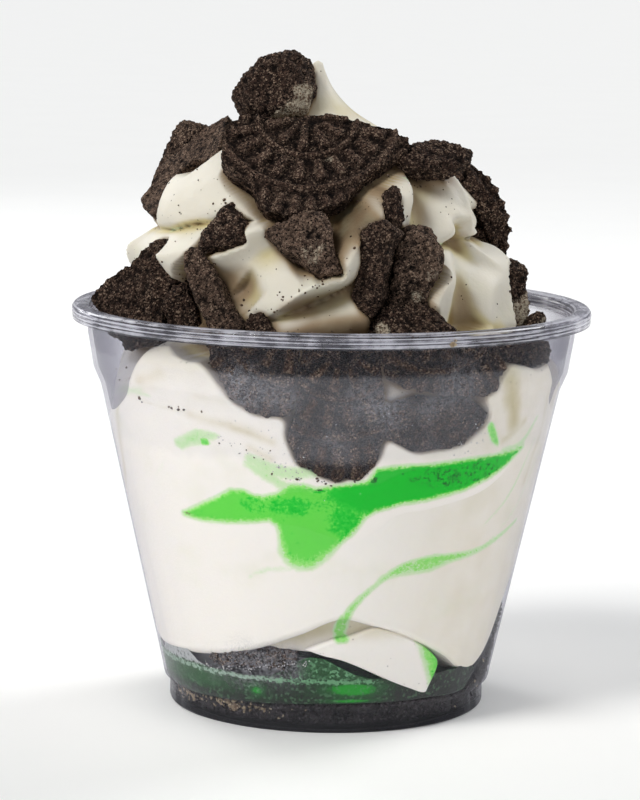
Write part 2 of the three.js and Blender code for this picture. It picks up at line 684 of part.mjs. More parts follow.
// In front, as seen. Earlier pieces keep their shape where two meet.
const cookiesSeen = [
  { name: 'cookie_half_wafer_front', facing: [4, 42], lift: 0.9,
    seen: [[-19, 102.5], [-16.5, 104], [-9.5, 104], [-4, 104.8], [5, 103.7], [10, 102.6],
      [13, 101], [13.5, 99], [9.5, 96.2], [5.5, 93.3], [2.5, 89.5], [-2, 87.8], [-8, 86.6],
      [-12, 87.4], [-14.5, 92], [-18, 94], [-20, 96.5]] },
  { name: 'cookie_lump_top', facing: [-10, 12], depth: -9.5, thickness: 12, lump: true,
    seen: [[-19, 108], [-17.5, 110.5], [-15.8, 112], [-13.5, 114.6], [-10, 116.2],
      [-7.2, 116.6], [-4.8, 115.6], [-3.4, 113.8], [-2.8, 109], [-3.8, 106], [-5.5, 104.4],
      [-10, 103.6], [-13.5, 103], [-17.2, 104.2]] },
  { name: 'cookie_slab_left', facing: [-50, 40], lift: 1.6,
    seen: [[-18.5, 104.8], [-23, 102], [-26.5, 98.8], [-29.3, 96.4], [-31.3, 94.8],
      [-32.4, 91.5], [-34.3, 89.4], [-34.2, 87.6], [-32.2, 86.2], [-30.6, 87.2],
      [-29.2, 91.8], [-27.2, 94.4], [-24.8, 96.3], [-20.8, 96.2], [-19.4, 101]] },
  { name: 'cookie_shard_left', facing: [-42, 25], depth: 2,
    seen: [[-26.8, 103.4], [-23.4, 103], [-22, 101], [-24, 97], [-28, 94], [-31.4, 94],
      [-30.2, 97.3], [-28.5, 101]] },
  { name: 'cookie_lump_right', facing: [15, 45], depth: -14, thickness: 7, lump: true,
    seen: [[13.5, 100], [14.8, 101], [17.2, 101.5], [20.5, 100.8], [24.8, 98.8], [25.1, 97],
      [23.7, 95.8], [21.4, 94.9], [18, 94.3], [13, 95.3], [11.5, 97]] },
  { name: 'cookie_wafer_right', facing: [30, 8], depth: 4,
    seen: [[24, 96.2], [25.8, 95.5], [28.2, 93.2], [29.8, 89.8], [31, 86], [31.4, 81.5],
      [31.2, 78.6], [29.8, 76.6], [26, 76.6], [21, 80.5], [19, 88.5], [20.5, 94.3]] },
  { name: 'cookie_piece_middle', facing: [-6, 22], lift: 3.4, thickness: 7, lump: true,
    seen: [[-12.2, 84.2], [-10.2, 85.8], [-7.4, 87], [-4.5, 88.6], [-2.8, 88.7],
      [-1.3, 87.8], [-0.3, 85.8], [0, 82.4], [1.8, 77.3], [0.4, 76.6], [-3, 76.4],
      [-5.2, 78.6], [-9.3, 80.7]] },
  { name: 'cookie_piece_left', facing: [-30, 26], lift: 2.8, thickness: 6, lump: true,
    seen: [[-18.2, 88.7], [-16.6, 87.6], [-15.1, 84.5], [-15.6, 83], [-20.1, 81.3],
      [-24, 80.6], [-24, 83.5], [-21.6, 86.4], [-20.2, 88.2]] },
  { name: 'cookie_chip_right', facing: [18, 15], lift: 2.6, thickness: 5, lump: true,
    seen: [[9, 89.6], [10.1, 92], [11.2, 92.5], [12.7, 91], [13.3, 87.8], [13.3, 85.6],
      [11.8, 84.3], [8.8, 86.4]] },
  { name: 'cookie_slab_upright', facing: [-14, 8], lift: 4.6, thickness: 9,
    seen: [[9, 86.6], [11.5, 84.2], [10.2, 81.9], [9.8, 77.6], [8.9, 72.2], [7.2, 68.4],
      [5, 69.6], [3.3, 71.8], [3.7, 75.2], [4.9, 79], [4.1, 81.8], [4.8, 84], [6.9, 85.8]] },
  { name: 'cookie_lump_front_right', facing: [20, 16], lift: 4.4, thickness: 8, lump: true,
    seen: [[11.6, 84.2], [13.5, 85.3], [16.9, 85.3], [18, 84.2], [20.3, 79.7], [20, 77.4],
      [17.8, 74.2], [15.8, 70.6], [11.6, 71.6], [10.3, 75.3], [10.7, 78.7]] },
  { name: 'cookie_slab_leaning', facing: [-16, 20], lift: 5, thickness: 10,
    seen: [[-26, 79.6], [-25, 80.7], [-23.6, 80], [-20.5, 75], [-19.2, 72], [-15.8, 67.3],
      [-16.6, 64], [-20.8, 64.4], [-22.7, 69.1], [-24.2, 72], [-25.9, 76.2]] },
  { name: 'cookie_lump_low_left', facing: [-30, 14], depth: -22, thickness: 7, lump: true,
    seen: [[-30.2, 71.9], [-28.4, 74.2], [-26.5, 76], [-25.9, 73.4], [-25.2, 70.5],
      [-23.8, 65], [-29.6, 64]] },
  { name: 'cookie_chunk_left', facing: [-34, 24], depth: -15, thickness: 8,
    seen: [[-43, 71.6], [-39.6, 74.8], [-35, 78.7], [-32.5, 81.4], [-29.9, 82.6],
      [-28.3, 82.2], [-26.9, 76.8], [-26.9, 75.3], [-28.6, 73.8], [-29.8, 71], [-30, 65],
      [-39.5, 65]] },
  { name: 'cookie_chunk_rim', facing: [8, 40], depth: -31, thickness: 8, lump: true,
    seen: [[7.2, 71.8], [9.6, 73.3], [12.8, 74], [16.2, 73.2], [20.2, 70], [22.8, 67.6],
      [22, 63.6], [12.3, 62], [6.4, 63.2], [6, 67.6]] },
  { name: 'cookie_lump_filled_right', facing: [30, 15], depth: -7, thickness: 9, lump: true,
    seen: [[30.6, 79.6], [32.6, 80], [35, 79], [35.6, 77.1], [35.4, 74.3], [36.1, 71.9],
      [35.8, 68], [34, 64.6], [30.8, 64.4], [29, 70], [29, 77]] },
  { name: 'cookie_chip_rim_right', facing: [40, 25], depth: -9, thickness: 5, lump: true,
    seen: [[35.6, 69.4], [36.4, 70.8], [37.6, 70.8], [38.8, 69.3], [38.9, 65], [36.2, 64.6]] },
  { name: 'cookie_chip_front', facing: [-16, 30], lift: 3, thickness: 5, lump: true,
    seen: [[-15.6, 67.8], [-14.9, 69.6], [-12.7, 69.7], [-11, 67.9], [-9.4, 64.4],
      [-15.4, 64]] },
  // against the inside of the wall
  { name: 'cookie_wafer_in_cup_middle', facing: [3, -12], wall: true, lift: 2.4, thickness: 6.5,
    seen: [[-6, 50.5], [-7.8, 45.6], [-5.6, 40.6], [0.6, 37.7], [6.1, 38], [9.3, 42],
      [10.2, 48.4], [9.6, 57.6], [8.8, 64], [-5, 64], [-5.6, 57]] },
  { name: 'cookie_piece_in_cup_left', facing: [-25, -12], wall: true, lift: 2.2, thickness: 6.5,
    seen: [[-24, 63.5], [-22.4, 58.9], [-19.9, 55.9], [-19.3, 53.3], [-15, 49.6], [-10.1, 48.8],
      [-6.6, 50.3], [-5.8, 57], [-6, 64]] },
  { name: 'cookie_piece_in_cup_low', facing: [33, -12], wall: true, lift: 1.8, thickness: 6,
    seen: [[10.8, 50.4], [11.4, 47.2], [13.2, 44.9], [16.6, 43.2], [24.4, 45.2], [28.8, 48.7],
      [30, 51], [27, 53.6], [17.8, 53.2]] },
  { name: 'cookie_piece_in_cup_right', facing: [33, -12], wall: true, lift: 2.2, thickness: 6.5,
    seen: [[10, 63.4], [20, 64.4], [33.5, 63.6], [33.2, 59], [30.6, 54.2], [25, 53.8],
      [16, 54], [10.4, 58]] },
  { name: 'cookie_chip_in_cup_right', facing: [60, -8], wall: true, lift: 0.6, thickness: 4,
    seen: [[34.6, 64.4], [39.5, 64.6], [40.9, 63.1], [40.3, 60.7], [36.4, 59.4], [32.4, 61]] },
  { name: 'cookie_chip_in_cup_left', facing: [-56, -8], wall: true, lift: 0.4, thickness: 4,
    seen: [[-40.4, 66.5], [-33.4, 66.6], [-33, 62.5], [-37.5, 62]] },
  // flat on the syrup at the bottom left
  { name: 'cookie_wafer_bottom', facing: [-28, 80], depth: -26,
    seen: [[-22.6, 8.6], [-17, 7.6], [-11, 7.2], [-4.6, 7.6], [-5, 9.4], [-9, 10.8],
      [-16, 11.2], [-21, 10.6]] },
];

// Behind and at the far sides, pieces of the same kinds lie on the ice cream, each given as
// [azimuth, height, half length, width over length]
function cookiesBehind() {
  const spots = [
    [98, 88, 7, 0.6], [126, 69, 9, 0.75], [158, 92, 10, 0.55], [168, 72, 5, 0.9],
    [200, 75, 9.5, 0.6], [226, 90, 6.5, 0.8], [254, 73, 9, 0.7],
  ];
  return spots.map(([azimuth, height, size, slimness], i) => {
    const random = seeded(60 + i);
    const frame = facingFrame([azimuth - 12 + 24 * random(), 10 + 35 * random()]);
    const origin = aroundAxis(creamRadius(azimuth, height), azimuth, height)
      .addScaledVector(frame.normal, 2.8);
    origin.x += swirlShiftX(height);
    const corners = 6 + Math.floor(3 * random());
    const tilt = Math.PI * random();
    const outline = Array.from({ length: corners }, (_, k) => {
      const angle = 2 * Math.PI * (k + 0.7 * random()) / corners;
      const radius = size * (0.75 + 0.4 * random());
      return new THREE.Vector2(radius * Math.cos(angle), slimness * radius * Math.sin(angle))
        .rotateAround(new THREE.Vector2(), tilt);
    });
    const lump = i % 2 === 1;
    return {
      name: `cookie_piece_behind_${i + 1}`,
      face: { ...frame, origin, outline },
      thickness: lump ? 7 : WAFER,
      lump,
    };
  });
}

// ---------------------------------------------------------------- fitting together

// Each piece is cut back from those before it, so that touching pieces keep a small gap.
// Cookies keep their shape and press into the ice cream, the syrup runs round both, and the
// crumbs fill what is left at the bottom.
function build() {
  const room = roomForContents();
  const cookies = [
    ...cookiesSeen.map((piece) => ({ ...piece, face: faceSeen(piece) })),
    ...cookiesBehind(),
  ].map((piece, i) => ({ ...piece, seed: i + 1 }));
  const placed = [];
  const clearOfCookies = (solid) => placed.reduce((left, { grown }) => left.subtract(grown), solid);
  for (const piece of cookies) {
    const solid = largest(clearOfCookies(brokenPiece(piece).intersect(room)));
    placed.push({ name: piece.name, solid, grown: brokenPiece(piece, SOCKET_GAP) });
  }
  const cream = clearOfCookies(creamBody().add(wallLobe(lowFold)))
    .subtract(wallBand(ribbonStations, RIBBON_DEPTH, SOCKET_GAP));
  const creamGrown = creamBody(HEAP_GAP).add(wallLobe(lowFold, HEAP_GAP));
  return {
    cookies: placed,
    cream: largest(cream),
    bed: largest(clearOfCookies(crumbBed().subtract(creamGrown))),
    pool: largest(clearOfCookies(syrupPool().subtract(creamGrown))),
    ribbon: largest(clearOfCookies(wallBand(ribbonStations, RIBBON_DEPTH))),
  };
}

// ---------------------------------------------------------------- the sundae

const clear = new THREE.MeshStandardMaterial({
  color: 0xdfe2ee, roughness: 0.08, metalness: 0, transparent: true, opacity: 0.25,
});
const creamWhite = new THREE.MeshStandardMaterial({ color: 0xefe9de, roughness: 0.45 });
const cookieBrown = new THREE.MeshStandardMaterial({ color: 0x2b1d17, roughness: 0.9 });
const crumbBrown = new THREE.MeshStandardMaterial({ color: 0x3a3033, roughness: 0.9 });
const syrupGreen = new THREE.MeshStandardMaterial({ color: 0x10a82c, roughness: 0.2 });
const syrupDark = new THREE.MeshStandardMaterial({ color: 0x14361c, roughness: 0.15 });

function named(name, geometry, material) {
  const mesh = new THREE.Mesh(geometry, material);
  mesh.name = name;
  return mesh;
}

const parts = build();
const sundae = new THREE.Group();
sundae.add(
  named('cup', geometryOf(solidOf(turned(cupProfile()))), clear),
  named('ice_cream', geometryOf(parts.cream), creamWhite),
  named('syrup_ribbon', geometryOf(parts.ribbon), syrupGreen),
  named('syrup_pool', geometryOf(parts.pool), syrupDark),
  named('cookie_crumbs', geometryOf(parts.bed), crumbBrown),
  ...parts.cookies.map(({ name, solid }) => named(name, geometryOf(solid), cookieBrown)),
);

export default sundae;
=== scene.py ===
"""A soft-serve sundae in a squat clear cup: the finish of every piece, round the fixed frame.

Lengths are millimetres until they become part of a mesh. +Z is up, the cup's axis is the Z axis and
the front is at -Y. Azimuths are degrees from the front, positive towards +X.
"""

import itertools
import math

import bpy
import numpy as np
from mathutils import Euler, Matrix, Vector
from mathutils.bvhtree import BVHTree


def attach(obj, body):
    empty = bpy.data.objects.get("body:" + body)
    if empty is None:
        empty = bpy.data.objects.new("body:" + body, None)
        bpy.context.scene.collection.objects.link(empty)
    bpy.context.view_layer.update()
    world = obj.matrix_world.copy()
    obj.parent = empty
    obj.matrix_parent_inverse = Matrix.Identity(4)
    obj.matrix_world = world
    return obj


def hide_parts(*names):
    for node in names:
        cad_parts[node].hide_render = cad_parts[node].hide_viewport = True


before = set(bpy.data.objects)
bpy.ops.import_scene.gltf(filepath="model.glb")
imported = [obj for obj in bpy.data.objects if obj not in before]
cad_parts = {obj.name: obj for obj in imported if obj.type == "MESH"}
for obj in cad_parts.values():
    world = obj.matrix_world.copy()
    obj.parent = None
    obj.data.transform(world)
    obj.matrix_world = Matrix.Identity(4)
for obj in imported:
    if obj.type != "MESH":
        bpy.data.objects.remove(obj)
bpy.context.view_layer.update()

MM = 0.001

# ---------------------------------------------------------------- sizes

# Camera
CAMERA_PLACE = (0, -544.7, 133.8)
CAMERA_PITCH = -8.357
CAMERA_TURN = 0.190
CAMERA_ROLL = 0.822
CAMERA_LENS = 138.95

# Cup
WALL = 0.8
RIM_HEIGHT = 71.3
RIM_RADIUS = 46
MOUTH_RADIUS = 43.1
LIP_DEPTH = 2.7
FOOT_RADIUS = 28.1
FLOOR_HEIGHT = 1.3
FOOT_RECESS = 0.5
FOOT_RING = 3
OUTER_WALL = [(FOOT_RADIUS, 3.6), (29.2, 4.8), (29.5, 6.4), (40.8, 57), (42.1, 60),
              (MOUTH_RADIUS, 66)]
CUP_SIDES = 144
GROOVE_STEP = 15
GROOVE_DEPTH = 0.3
# How far into the wall its contents reach, and the radius at which lengths along it are measured
INTO_WALL = 0.5
MEAN_RADIUS = 34

# Ice cream
PEAK_HEIGHT = 114
MM_PER_DEGREE = 0.5
EDGE_ROUND = 1.8
BOTTOM_HEIGHT = 9.5
# How many degrees its columns are drawn in towards the front, where more of them show
CROWDING = 17

# Where the ice cream would come within COVER_MARGIN of a cookie's outer face, it lies SUNK behind
# that face. Rays look for the face from FAR_OUT. Two cookies aren't covered: one lies under the
# ice cream and one leans on its peak.
SUNK = 2.4
COVER_MARGIN = 1.6
FAR_OUT = 70
NEAR_COOKIE = 9
GAP_DEPTH = 3
NOT_COVERED = ("cookie_wafer_bottom", "cookie_lump_top")

# Syrup, and the azimuths of the ribbon's and the pool's ends
SYRUP_LEVEL = 9.6
RIBBON_ENDS = (-43.2, 58.2)
RIBBON_DEPTH = 4.5
POOL_ENDS = (-134, 62)

# Broken cookies, and the size of the crumbs and of the finer grains of their faces
COOKIE_VOXEL = 0.3
SOFTENING = 6
WAFER_RADIUS = 22
COOKIE_CRUMB = 1.3
COOKIE_GRAIN = 0.65

# What hides the sky from the ice cream: the rays from each point, how far they look and how far
# from the point a cookie may be
SKY_RAYS = 18
SKY_REACH = 22
SKY_NEAR = 12

# ---------------------------------------------------------------- noise and curves

# What stirs whole numbers into random ones of 32 bits
AXIS_PRIMES = (73856093, 19349663, 83492791)
SEED_PRIME = 2654435761
STIRS = ((15, 2246822519), (13, 3266489917))
LAST_SHIFT = 16
ALL_BITS = 0xFFFFFFFF


def dice(corner, seed):
    """Random numbers from 0 to 1 that belong to whole-number corners of space."""
    x, y, z = (corner[..., i].astype(np.uint64) * np.uint64(AXIS_PRIMES[i]) for i in range(3))
    mixed = (x ^ y ^ z) + np.uint64(seed * SEED_PRIME) & np.uint64(ALL_BITS)
    for shift, prime in STIRS:
        mixed = (mixed ^ (mixed >> np.uint64(shift))) * np.uint64(prime) & np.uint64(ALL_BITS)
    return (mixed ^ (mixed >> np.uint64(LAST_SHIFT))).astype(float) / ALL_BITS


def clouds(points, size, seed):
    """Smooth random hills, from -1 to 1, about `size` across."""
    scaled = points / size
    cell = np.floor(scaled)
    part = scaled - cell
    part = part * part * (3 - 2 * part)
    cell = cell.astype(np.int64)
    total = np.zeros(len(points))
    for offset in itertools.product((0, 1), repeat=3):
        weight = np.prod(np.where(np.array(offset) == 1, part, 1 - part), axis=1)
        total += weight * dice(cell + np.array(offset), seed)
    return 2 * total - 1


def grains(points, size, seed):
    """Distance to the middle of the nearest grain, over the grain size."""
    cell = np.floor(points / size).astype(np.int64)
    nearest = np.full(len(points), np.inf)
    for offset in itertools.product((-1, 0, 1), repeat=3):
        corner = cell + np.array(offset)
        middle = corner + np.stack([dice(corner, seed + i) for i in range(3)], axis=1)
        nearest = np.minimum(nearest, np.linalg.norm(points / size - middle, axis=1))
    return nearest


def rise(value, low, high):
    """0 below low, 1 above high and smooth between them."""
    part = np.clip((value - low) / (high - low), 0, 1)
    return part * part * (3 - 2 * part)


def curve_through(pairs, turn=0):
    """Smooth curve through (x, y) pairs, read at x; x may run round a full turn."""
    points = [(x + n * turn, y) for n in ((-1, 0, 1) if turn else (0,)) for x, y in pairs]
    xs, ys = np.array(points, float).T
    before = np.maximum(np.arange(len(xs)) - 1, 0)
    after = np.minimum(np.arange(len(xs)) + 1, len(xs) - 1)
    slopes = (ys[after] - ys[before]) / (xs[after] - xs[before])

    def read(x):
        x = np.asarray(x, float)
        i = np.clip(np.searchsorted(xs, x, side="right") - 1, 0, len(xs) - 2)
        width = xs[i + 1] - xs[i]
        t = np.clip((x - xs[i]) / width, 0, 1)
        a, b, up = slopes[i] * width, slopes[i + 1] * width, ys[i + 1] - ys[i]
        return ys[i] + t * (a + t * (3 * up - 2 * a - b + t * (a + b - 2 * up)))

    return read


def spline(line, steps):
    """Points on a smooth curve through the points of a line, `steps` to each span."""
    line = np.array(line, float)
    last = len(line) - 1
    t = np.linspace(0, last, steps * last + 1)
    i = np.minimum(t.astype(int), last - 1)
    w = (t - i)[:, None]
    p0, p1, p2, p3 = (line[np.clip(i + k, 0, last)] for k in (-1, 0, 1, 2))
    v0, v1 = (p2 - p0) / 2, (p3 - p1) / 2
    bend = 3 * (p2 - p1) - 2 * v0 - v1
    return p1 + w * (v0 + w * (bend + w * (2 * (p1 - p2) + v0 + v1)))


def nearest_on(line, along, z):
    """Distance from points to a line, which side they are on and how far along it, 0 to 1."""
    spans = len(line) - 1
    distance = np.full(along.shape, np.inf)
    side = np.zeros(along.shape)
    place = np.zeros(along.shape)
    for i in range(spans):
        dx, dz = line[i + 1] - line[i]
        px, pz = along - line[i][0], z - line[i][1]
        t = np.clip((px * dx + pz * dz) / (dx * dx + dz * dz), 0, 1)
        d = np.hypot(px - t * dx, pz - t * dz)
        closer = d < distance
        distance = np.where(closer, d, distance)
        side = np.where(closer, dx * pz - dz * px, side)
        place = np.where(closer, (i + t) / spans, place)
    return distance, side, place


def outline_depth(outline, azimuth, z):
    """Distance inside a closed outline on the wall, less than 0 outside it."""
    scale = math.radians(MEAN_RADIUS)
    line = np.array(outline + outline[:1], float)
    inside = np.zeros(len(z), bool)
    for (x0, z0), (x1, z1) in zip(line[:-1], line[1:]):
        crosses = (z0 > z) != (z1 > z)
        with np.errstate(divide="ignore", invalid="ignore"):
            inside ^= crosses & (azimuth < x0 + (x1 - x0) * (z - z0) / (z1 - z0))
    line[:, 0] *= scale
    distance, _, _ = nearest_on(line, azimuth * scale, z)
    return np.where(inside, distance, -distance)


def inner_radius(z):
    """The radius of the inside of the cup's wall at a height."""
    heights = [0] + [height for _, height in OUTER_WALL] + [RIM_HEIGHT]
    radii = [FOOT_RADIUS - WALL] + [radius - WALL for radius, _ in OUTER_WALL] + [MOUTH_RADIUS]
    return np.interp(z, heights, radii)


def around_axis(radius, azimuth, z):
    """Points at a radius, azimuth and height."""
    angle = np.radians(azimuth)
    return np.stack([radius * np.sin(angle), -radius * np.cos(angle), z + 0 * angle], axis=-1)


def outwards(azimuth):
    """Directions straight away from the axis."""
    return around_axis(1.0, azimuth, 0 * azimuth)


def spot(azimuth, z, middle, size):
    """1 in the middle of a soft round spot, falling to 0 away from it."""
    along, up = (azimuth - middle[0]) / size[0], (z - middle[1]) / size[1]
    return np.exp(-(along ** 2 + up ** 2))


# ---------------------------------------------------------------- the ice cream's form

# How far the mound's middle lies to the right of the axis, and its radius before it is folded
swirl_shift = curve_through([
    (0, 0), (56, 0), (66, 0), (75, -1), (86, -3.3), (100, -3.4), (PEAK_HEIGHT, -3),
])
mound_radius = curve_through([
    (0, 60), (44, 44), (48, 40.2), (56, 38.1), (60, 37.2), (63, 35.8), (66, 34), (70, 32.8),
    (75, 32.3), (80, 31.8), (84, 29.8), (88, 28.2), (91, 26.7), (94, 24.2), (97, 20.4),
    (100, 15), (103, 10.2), (106, 5.8), (109, 3), (112, 1.4), (PEAK_HEIGHT, 0.7),
])

# How high its lower edge lies against the wall
lower_edge = curve_through([
    (-160, 12), (-135, 10), (-105, 13), (-73, 10.9), (-52, 11.6), (-39, 12.5), (-23, 14.6),
    (-8, 17.8), (4, 20.6), (14, 19.4), (22, 17.8), (31, 15.6), (43, 12.2), (51, 9.4),
    (60, 8.8), (68, 12), (75, 20), (84, 24.5), (100, 24), (122, 19), (145, 12), (170, 14),
], turn=360)

# Each fold is a line of (azimuth, height), how far it stands out or cuts in, its width on its
# upper-left side and on the other, and its form: a crease between two round bulges, a sharp
# crest, or soft.
FOLDS = [
    # creases between one turn of the swirl and the next
    ([(-120, 84), (-92, 84.6), (-66, 84.8), (-47, 86.6), (-26, 87.6), (-12, 88.8), (10, 92),
      (30, 96)], -3, 3.5, 4.5, "crease"),
    ([(-22, 70.5), (-11, 73), (-5, 74.4), (3, 76.1), (10, 77.8), (16, 80.2), (30, 81.4), (44, 82.4),
      (52, 83.3), (64, 84), (82, 84), (120, 86), (170, 87), (215, 86), (248, 84)],
     -5, 3, 5.5, "crease"),
    ([(-175, 66), (-120, 67), (-62, 69.5), (-30, 67.5), (0, 65), (30, 64.5), (62, 64.5),
      (100, 65), (140, 66), (180, 66)], -3, 5, 4, "crease"),
    # the ridge on the left that runs up under the wafer, and the hollow below it
    ([(-66, 80.5), (-52, 81.4), (-41, 82.8), (-34, 84), (-25, 85.6), (-10, 88.8)],
     2.2, 2.4, 8, "crest"),
    ([(-52, 73), (-38, 76.5), (-27, 79.5), (-16, 82.5), (-6, 85)], -3.4, 5, 7, "soft"),
    ([(-30, 77), (-23, 73.5)], -1.6, 5, 5, "soft"),
    # the steep ridge in front and the groove behind it
    ([(-20, 71.6), (-12, 74.3), (-7, 76.4), (0, 78.6), (8, 81.6), (16, 86.3), (25, 91.3), (31, 94),
      (40, 97)], 3.6, 4, 6.5, "crest"),
    ([(-8, 79.6), (2, 83), (9, 87.2), (17, 91.5), (30, 96)], -4.6, 4.5, 3.2, "soft"),
    # the low lobe at the foot, in the shade of the steep ridge
    ([(-24, 65.5), (-13, 69), (-2, 71), (10, 72.5), (24, 74.5)], 1.8, 4, 6, "soft"),
    # upright ribs and the valleys between them on the right
    ([(31, 99), (38, 95), (39, 92), (37, 88), (34, 84)], 1.4, 5, 5, "crest"),
    ([(36, 84), (44, 88), (51, 92), (58, 96)], -3.6, 6, 6, "soft"),
    ([(65, 86.5), (68, 89), (72, 93), (76, 97)], 2, 5, 5, "crest"),
    ([(30, 69), (33, 73.5), (37, 77.5), (43, 81.5)], 2.2, 5, 5, "crest"),
    ([(44, 67), (51, 74), (58, 79), (70, 82.4)], -3.6, 5.5, 5.5, "soft"),
    ([(70, 68), (76, 74), (82, 80), (84, 83)], 1.8, 5, 6, "crest"),
    ([(58, 85.8), (68, 86.2)], -1.8, 2, 2, "soft"),
    ([(66, 84.6), (76, 84.4)], 1.4, 1.6, 2.4, "soft"),
    # the dent that the front wafer lies in
    ([(-30, 95.5), (-10, 92.5), (6, 91.5), (20, 94), (34, 98)], -4.6, 8, 6, "soft"),
    # upright ribs between the wall and the ice cream on the right
    ([(78, 48), (82, 56), (84, 66)], 3.4, 6, 5, "crest"),
]
# Behind, ribs like those on the right go on round each turn: where they are, and each one's line
# from there
RIBS_BEHIND = [
    (range(104, 264, 26), [(-10, 67), (0, 74), (12, 83)], 2.6, 5, 5, "crest"),
    (range(118, 264, 26), [(-12, 67), (-2, 74), (10, 83)], -2, 5, 5, "soft"),
    (range(98, 250, 30), [(-8, 88), (0, 92), (12, 98)], 2.2, 5, 5, "crest"),
    ((104, 121, 150, 168, 199, 214, 246), [(0, 44), (3, 54), (5, 64)], 3.4, 7, 5, "crest"),
]
for azimuths, line, *form in RIBS_BEHIND:
    FOLDS += [([(around + step, height) for step, height in line], *form) for around in azimuths]

# How a fold's height falls off over its reach
FORMS = {
    "crease": lambda reach: 1 - np.sqrt(reach * (2 - reach)),
    "crest": lambda reach: (1 - reach) ** 2,
    "soft": lambda reach: (1 - reach**2) ** 2,
}


def fold_height(azimuth, z, line, height, above, below, form):
    """How far one fold stands out at each point. It fades towards both ends of its line."""
    curve = spline([(a * MM_PER_DEGREE, h) for a, h in line], 8)
    turn = 360 * MM_PER_DEGREE
    along = azimuth * MM_PER_DEGREE
    along = along - turn * np.round((along - curve[len(curve) // 2][0]) / turn)
    distance, side, place = nearest_on(curve, along, z)
    reach = np.minimum(distance / np.where(side > 0, above, below), 1)
    ends = np.minimum(1, 6 * np.minimum(place, 1 - place))
    return height * FORMS[form](reach) * ends * (2 - ends)


def cream_relief(azimuth, z):
    """All folds together, which fade towards the peak."""
    total = sum(fold_height(azimuth, z, *fold) for fold in FOLDS)
    return total * np.clip((PEAK_HEIGHT - z) / 12, 0, 1)


# How high the ice cream lies against the wall
contact_height = curve_through([
    (-176, 50), (-160, 46), (-133, 55), (-104, 48), (-90, 51), (-76, 53), (-66, 56), (-58, 60),
    (-52, 65), (-46, 68), (-38, 69), (-30, 67), (0, 65), (38, 65), (46, 68), (56, 68), (64, 64),
    (74, 56), (92, 47), (116, 52), (129, 45), (158, 55),
], turn=360)

# Where broken cookies lie between the ice cream and the wall, an outline of (azimuth, height)
COOKIE_WINDOW = [
    (-38, 70), (-34, 62), (-29, 57), (-24, 54.5), (-14, 53.5), (-8, 50), (-6, 46.8), (3, 46),
    (9, 47), (12, 50), (22, 51), (32, 51), (39, 53), (43, 56), (44, 60), (48, 70),
]

# Shade painted on the ice cream where it lies against the wall, in lines like shallow hollows: each
# a line of (azimuth, height), its half width, the softness of its edge and how deep the shade is
WALL_SHADES = [
    ([(-62, 57.4), (-52, 58.8), (-46, 60)], 0.2, 4, 0.22),
    ([(-51, 60.5), (-47, 61.3), (-43, 62.6)], 0.4, 5, 0.36),
    ([(-33, 59.2), (-26, 58.8)], 0.3, 4, 0.2),
    ([(-52, 56.8), (-40, 56.2), (-36, 56)], 0.1, 1.4, 0.22),
    ([(-36, 55.8), (-30, 55), (-23, 54.4), (-17, 53.2)], 0.4, 4, 0.3),
    ([(-24, 54.3), (-19.6, 53.5), (-14, 52.2)], 0.4, 3.4, 0.36),
    ([(-20, 51), (-14.5, 49.2)], 0.4, 3, 0.34),
    ([(-69, 54), (-72, 47.9), (-75, 42.3), (-82, 37.8)], 0.8, 5, 0.3),
    ([(46, 62), (48, 59), (50.5, 56.5), (52, 54)], 1.6, 6.5, 0.5),
    ([(48.8, 51), (53.6, 52.4), (57.3, 54)], 0.6, 4, 0.4),
    ([(64, 64), (68, 57), (70, 51), (67, 46), (66, 42)], 0.8, 6.5, 0.34),
    ([(-26, 26), (-12, 28.5), (2, 29), (16, 33), (34, 36), (56, 42)], 0.2, 3, 0.08),
]


def cream_radius(azimuth, z):
    """The ice cream's radius: its folded mound, pressed out to the wall where it touches that."""
    free = np.maximum(mound_radius(z) + cream_relief(azimuth, z), 0.6)
    wall = inner_radius(z) + INTO_WALL
    pressed = rise(contact_height(azimuth) - z, -2, 2.4)
    free = free + np.maximum(wall - free, 0) * pressed
    return np.minimum(free, np.where(z < RIM_HEIGHT, wall, np.inf))


# ---------------------------------------------------------------- making pieces


def start_fresh():
    bpy.ops.object.select_all(action="DESELECT")


def add_object(name, data):
    """An object for a mesh, a lamp or the camera's own data, in the scene."""
    added = bpy.data.objects.new(name, data)
    bpy.context.scene.collection.objects.link(added)
    return added


def points_of(piece):
    """A piece's points, in millimetres."""
    flat = np.empty(3 * len(piece.data.vertices))
    piece.data.vertices.foreach_get("co", flat)
    return flat.reshape(-1, 3) / MM


def normals_of(piece):
    """Which way a piece looks at each of its points."""
    flat = np.empty(3 * len(piece.data.vertices))
    piece.data.vertex_normals.foreach_get("vector", flat)
    return flat.reshape(-1, 3)


def place_points(piece, points):
    piece.data.vertices.foreach_set("co", (points * MM).ravel())
    piece.data.update()


def paint(piece, name, values):
    """A value for each point of a piece, which its finish reads by name."""
    layer = piece.data.attributes.new(name, "FLOAT", "POINT")
    layer.data.foreach_set("value", np.asarray(values, np.float32))


def finish_piece(piece, material):
    """A piece's material and smooth shading, and its place in the part."""
    piece.data.materials.clear()
    piece.data.materials.append(material)
    piece.data.polygons.foreach_set("use_smooth", [True] * len(piece.data.polygons))
    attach(piece, "root")


def turn_outwards(piece):
    """All faces of a closed piece made to look outwards."""
    start_fresh()
    piece.select_set(True)
    bpy.context.view_layer.objects.active = piece
    bpy.ops.object.mode_set(mode="EDIT")
    bpy.ops.mesh.select_all(action="SELECT")
    bpy.ops.mesh.normals_make_consistent(inside=False)
    bpy.ops.object.mode_set(mode="OBJECT")


def apply_modifier(piece, kind, **settings):
    """A modifier, put on and applied. The piece is the active one."""
    modifier = piece.modifiers.new(kind.title(), kind)
    for key, value in settings.items():
        setattr(modifier, key, value)
    bpy.ops.object.modifier_apply(modifier=modifier.name)


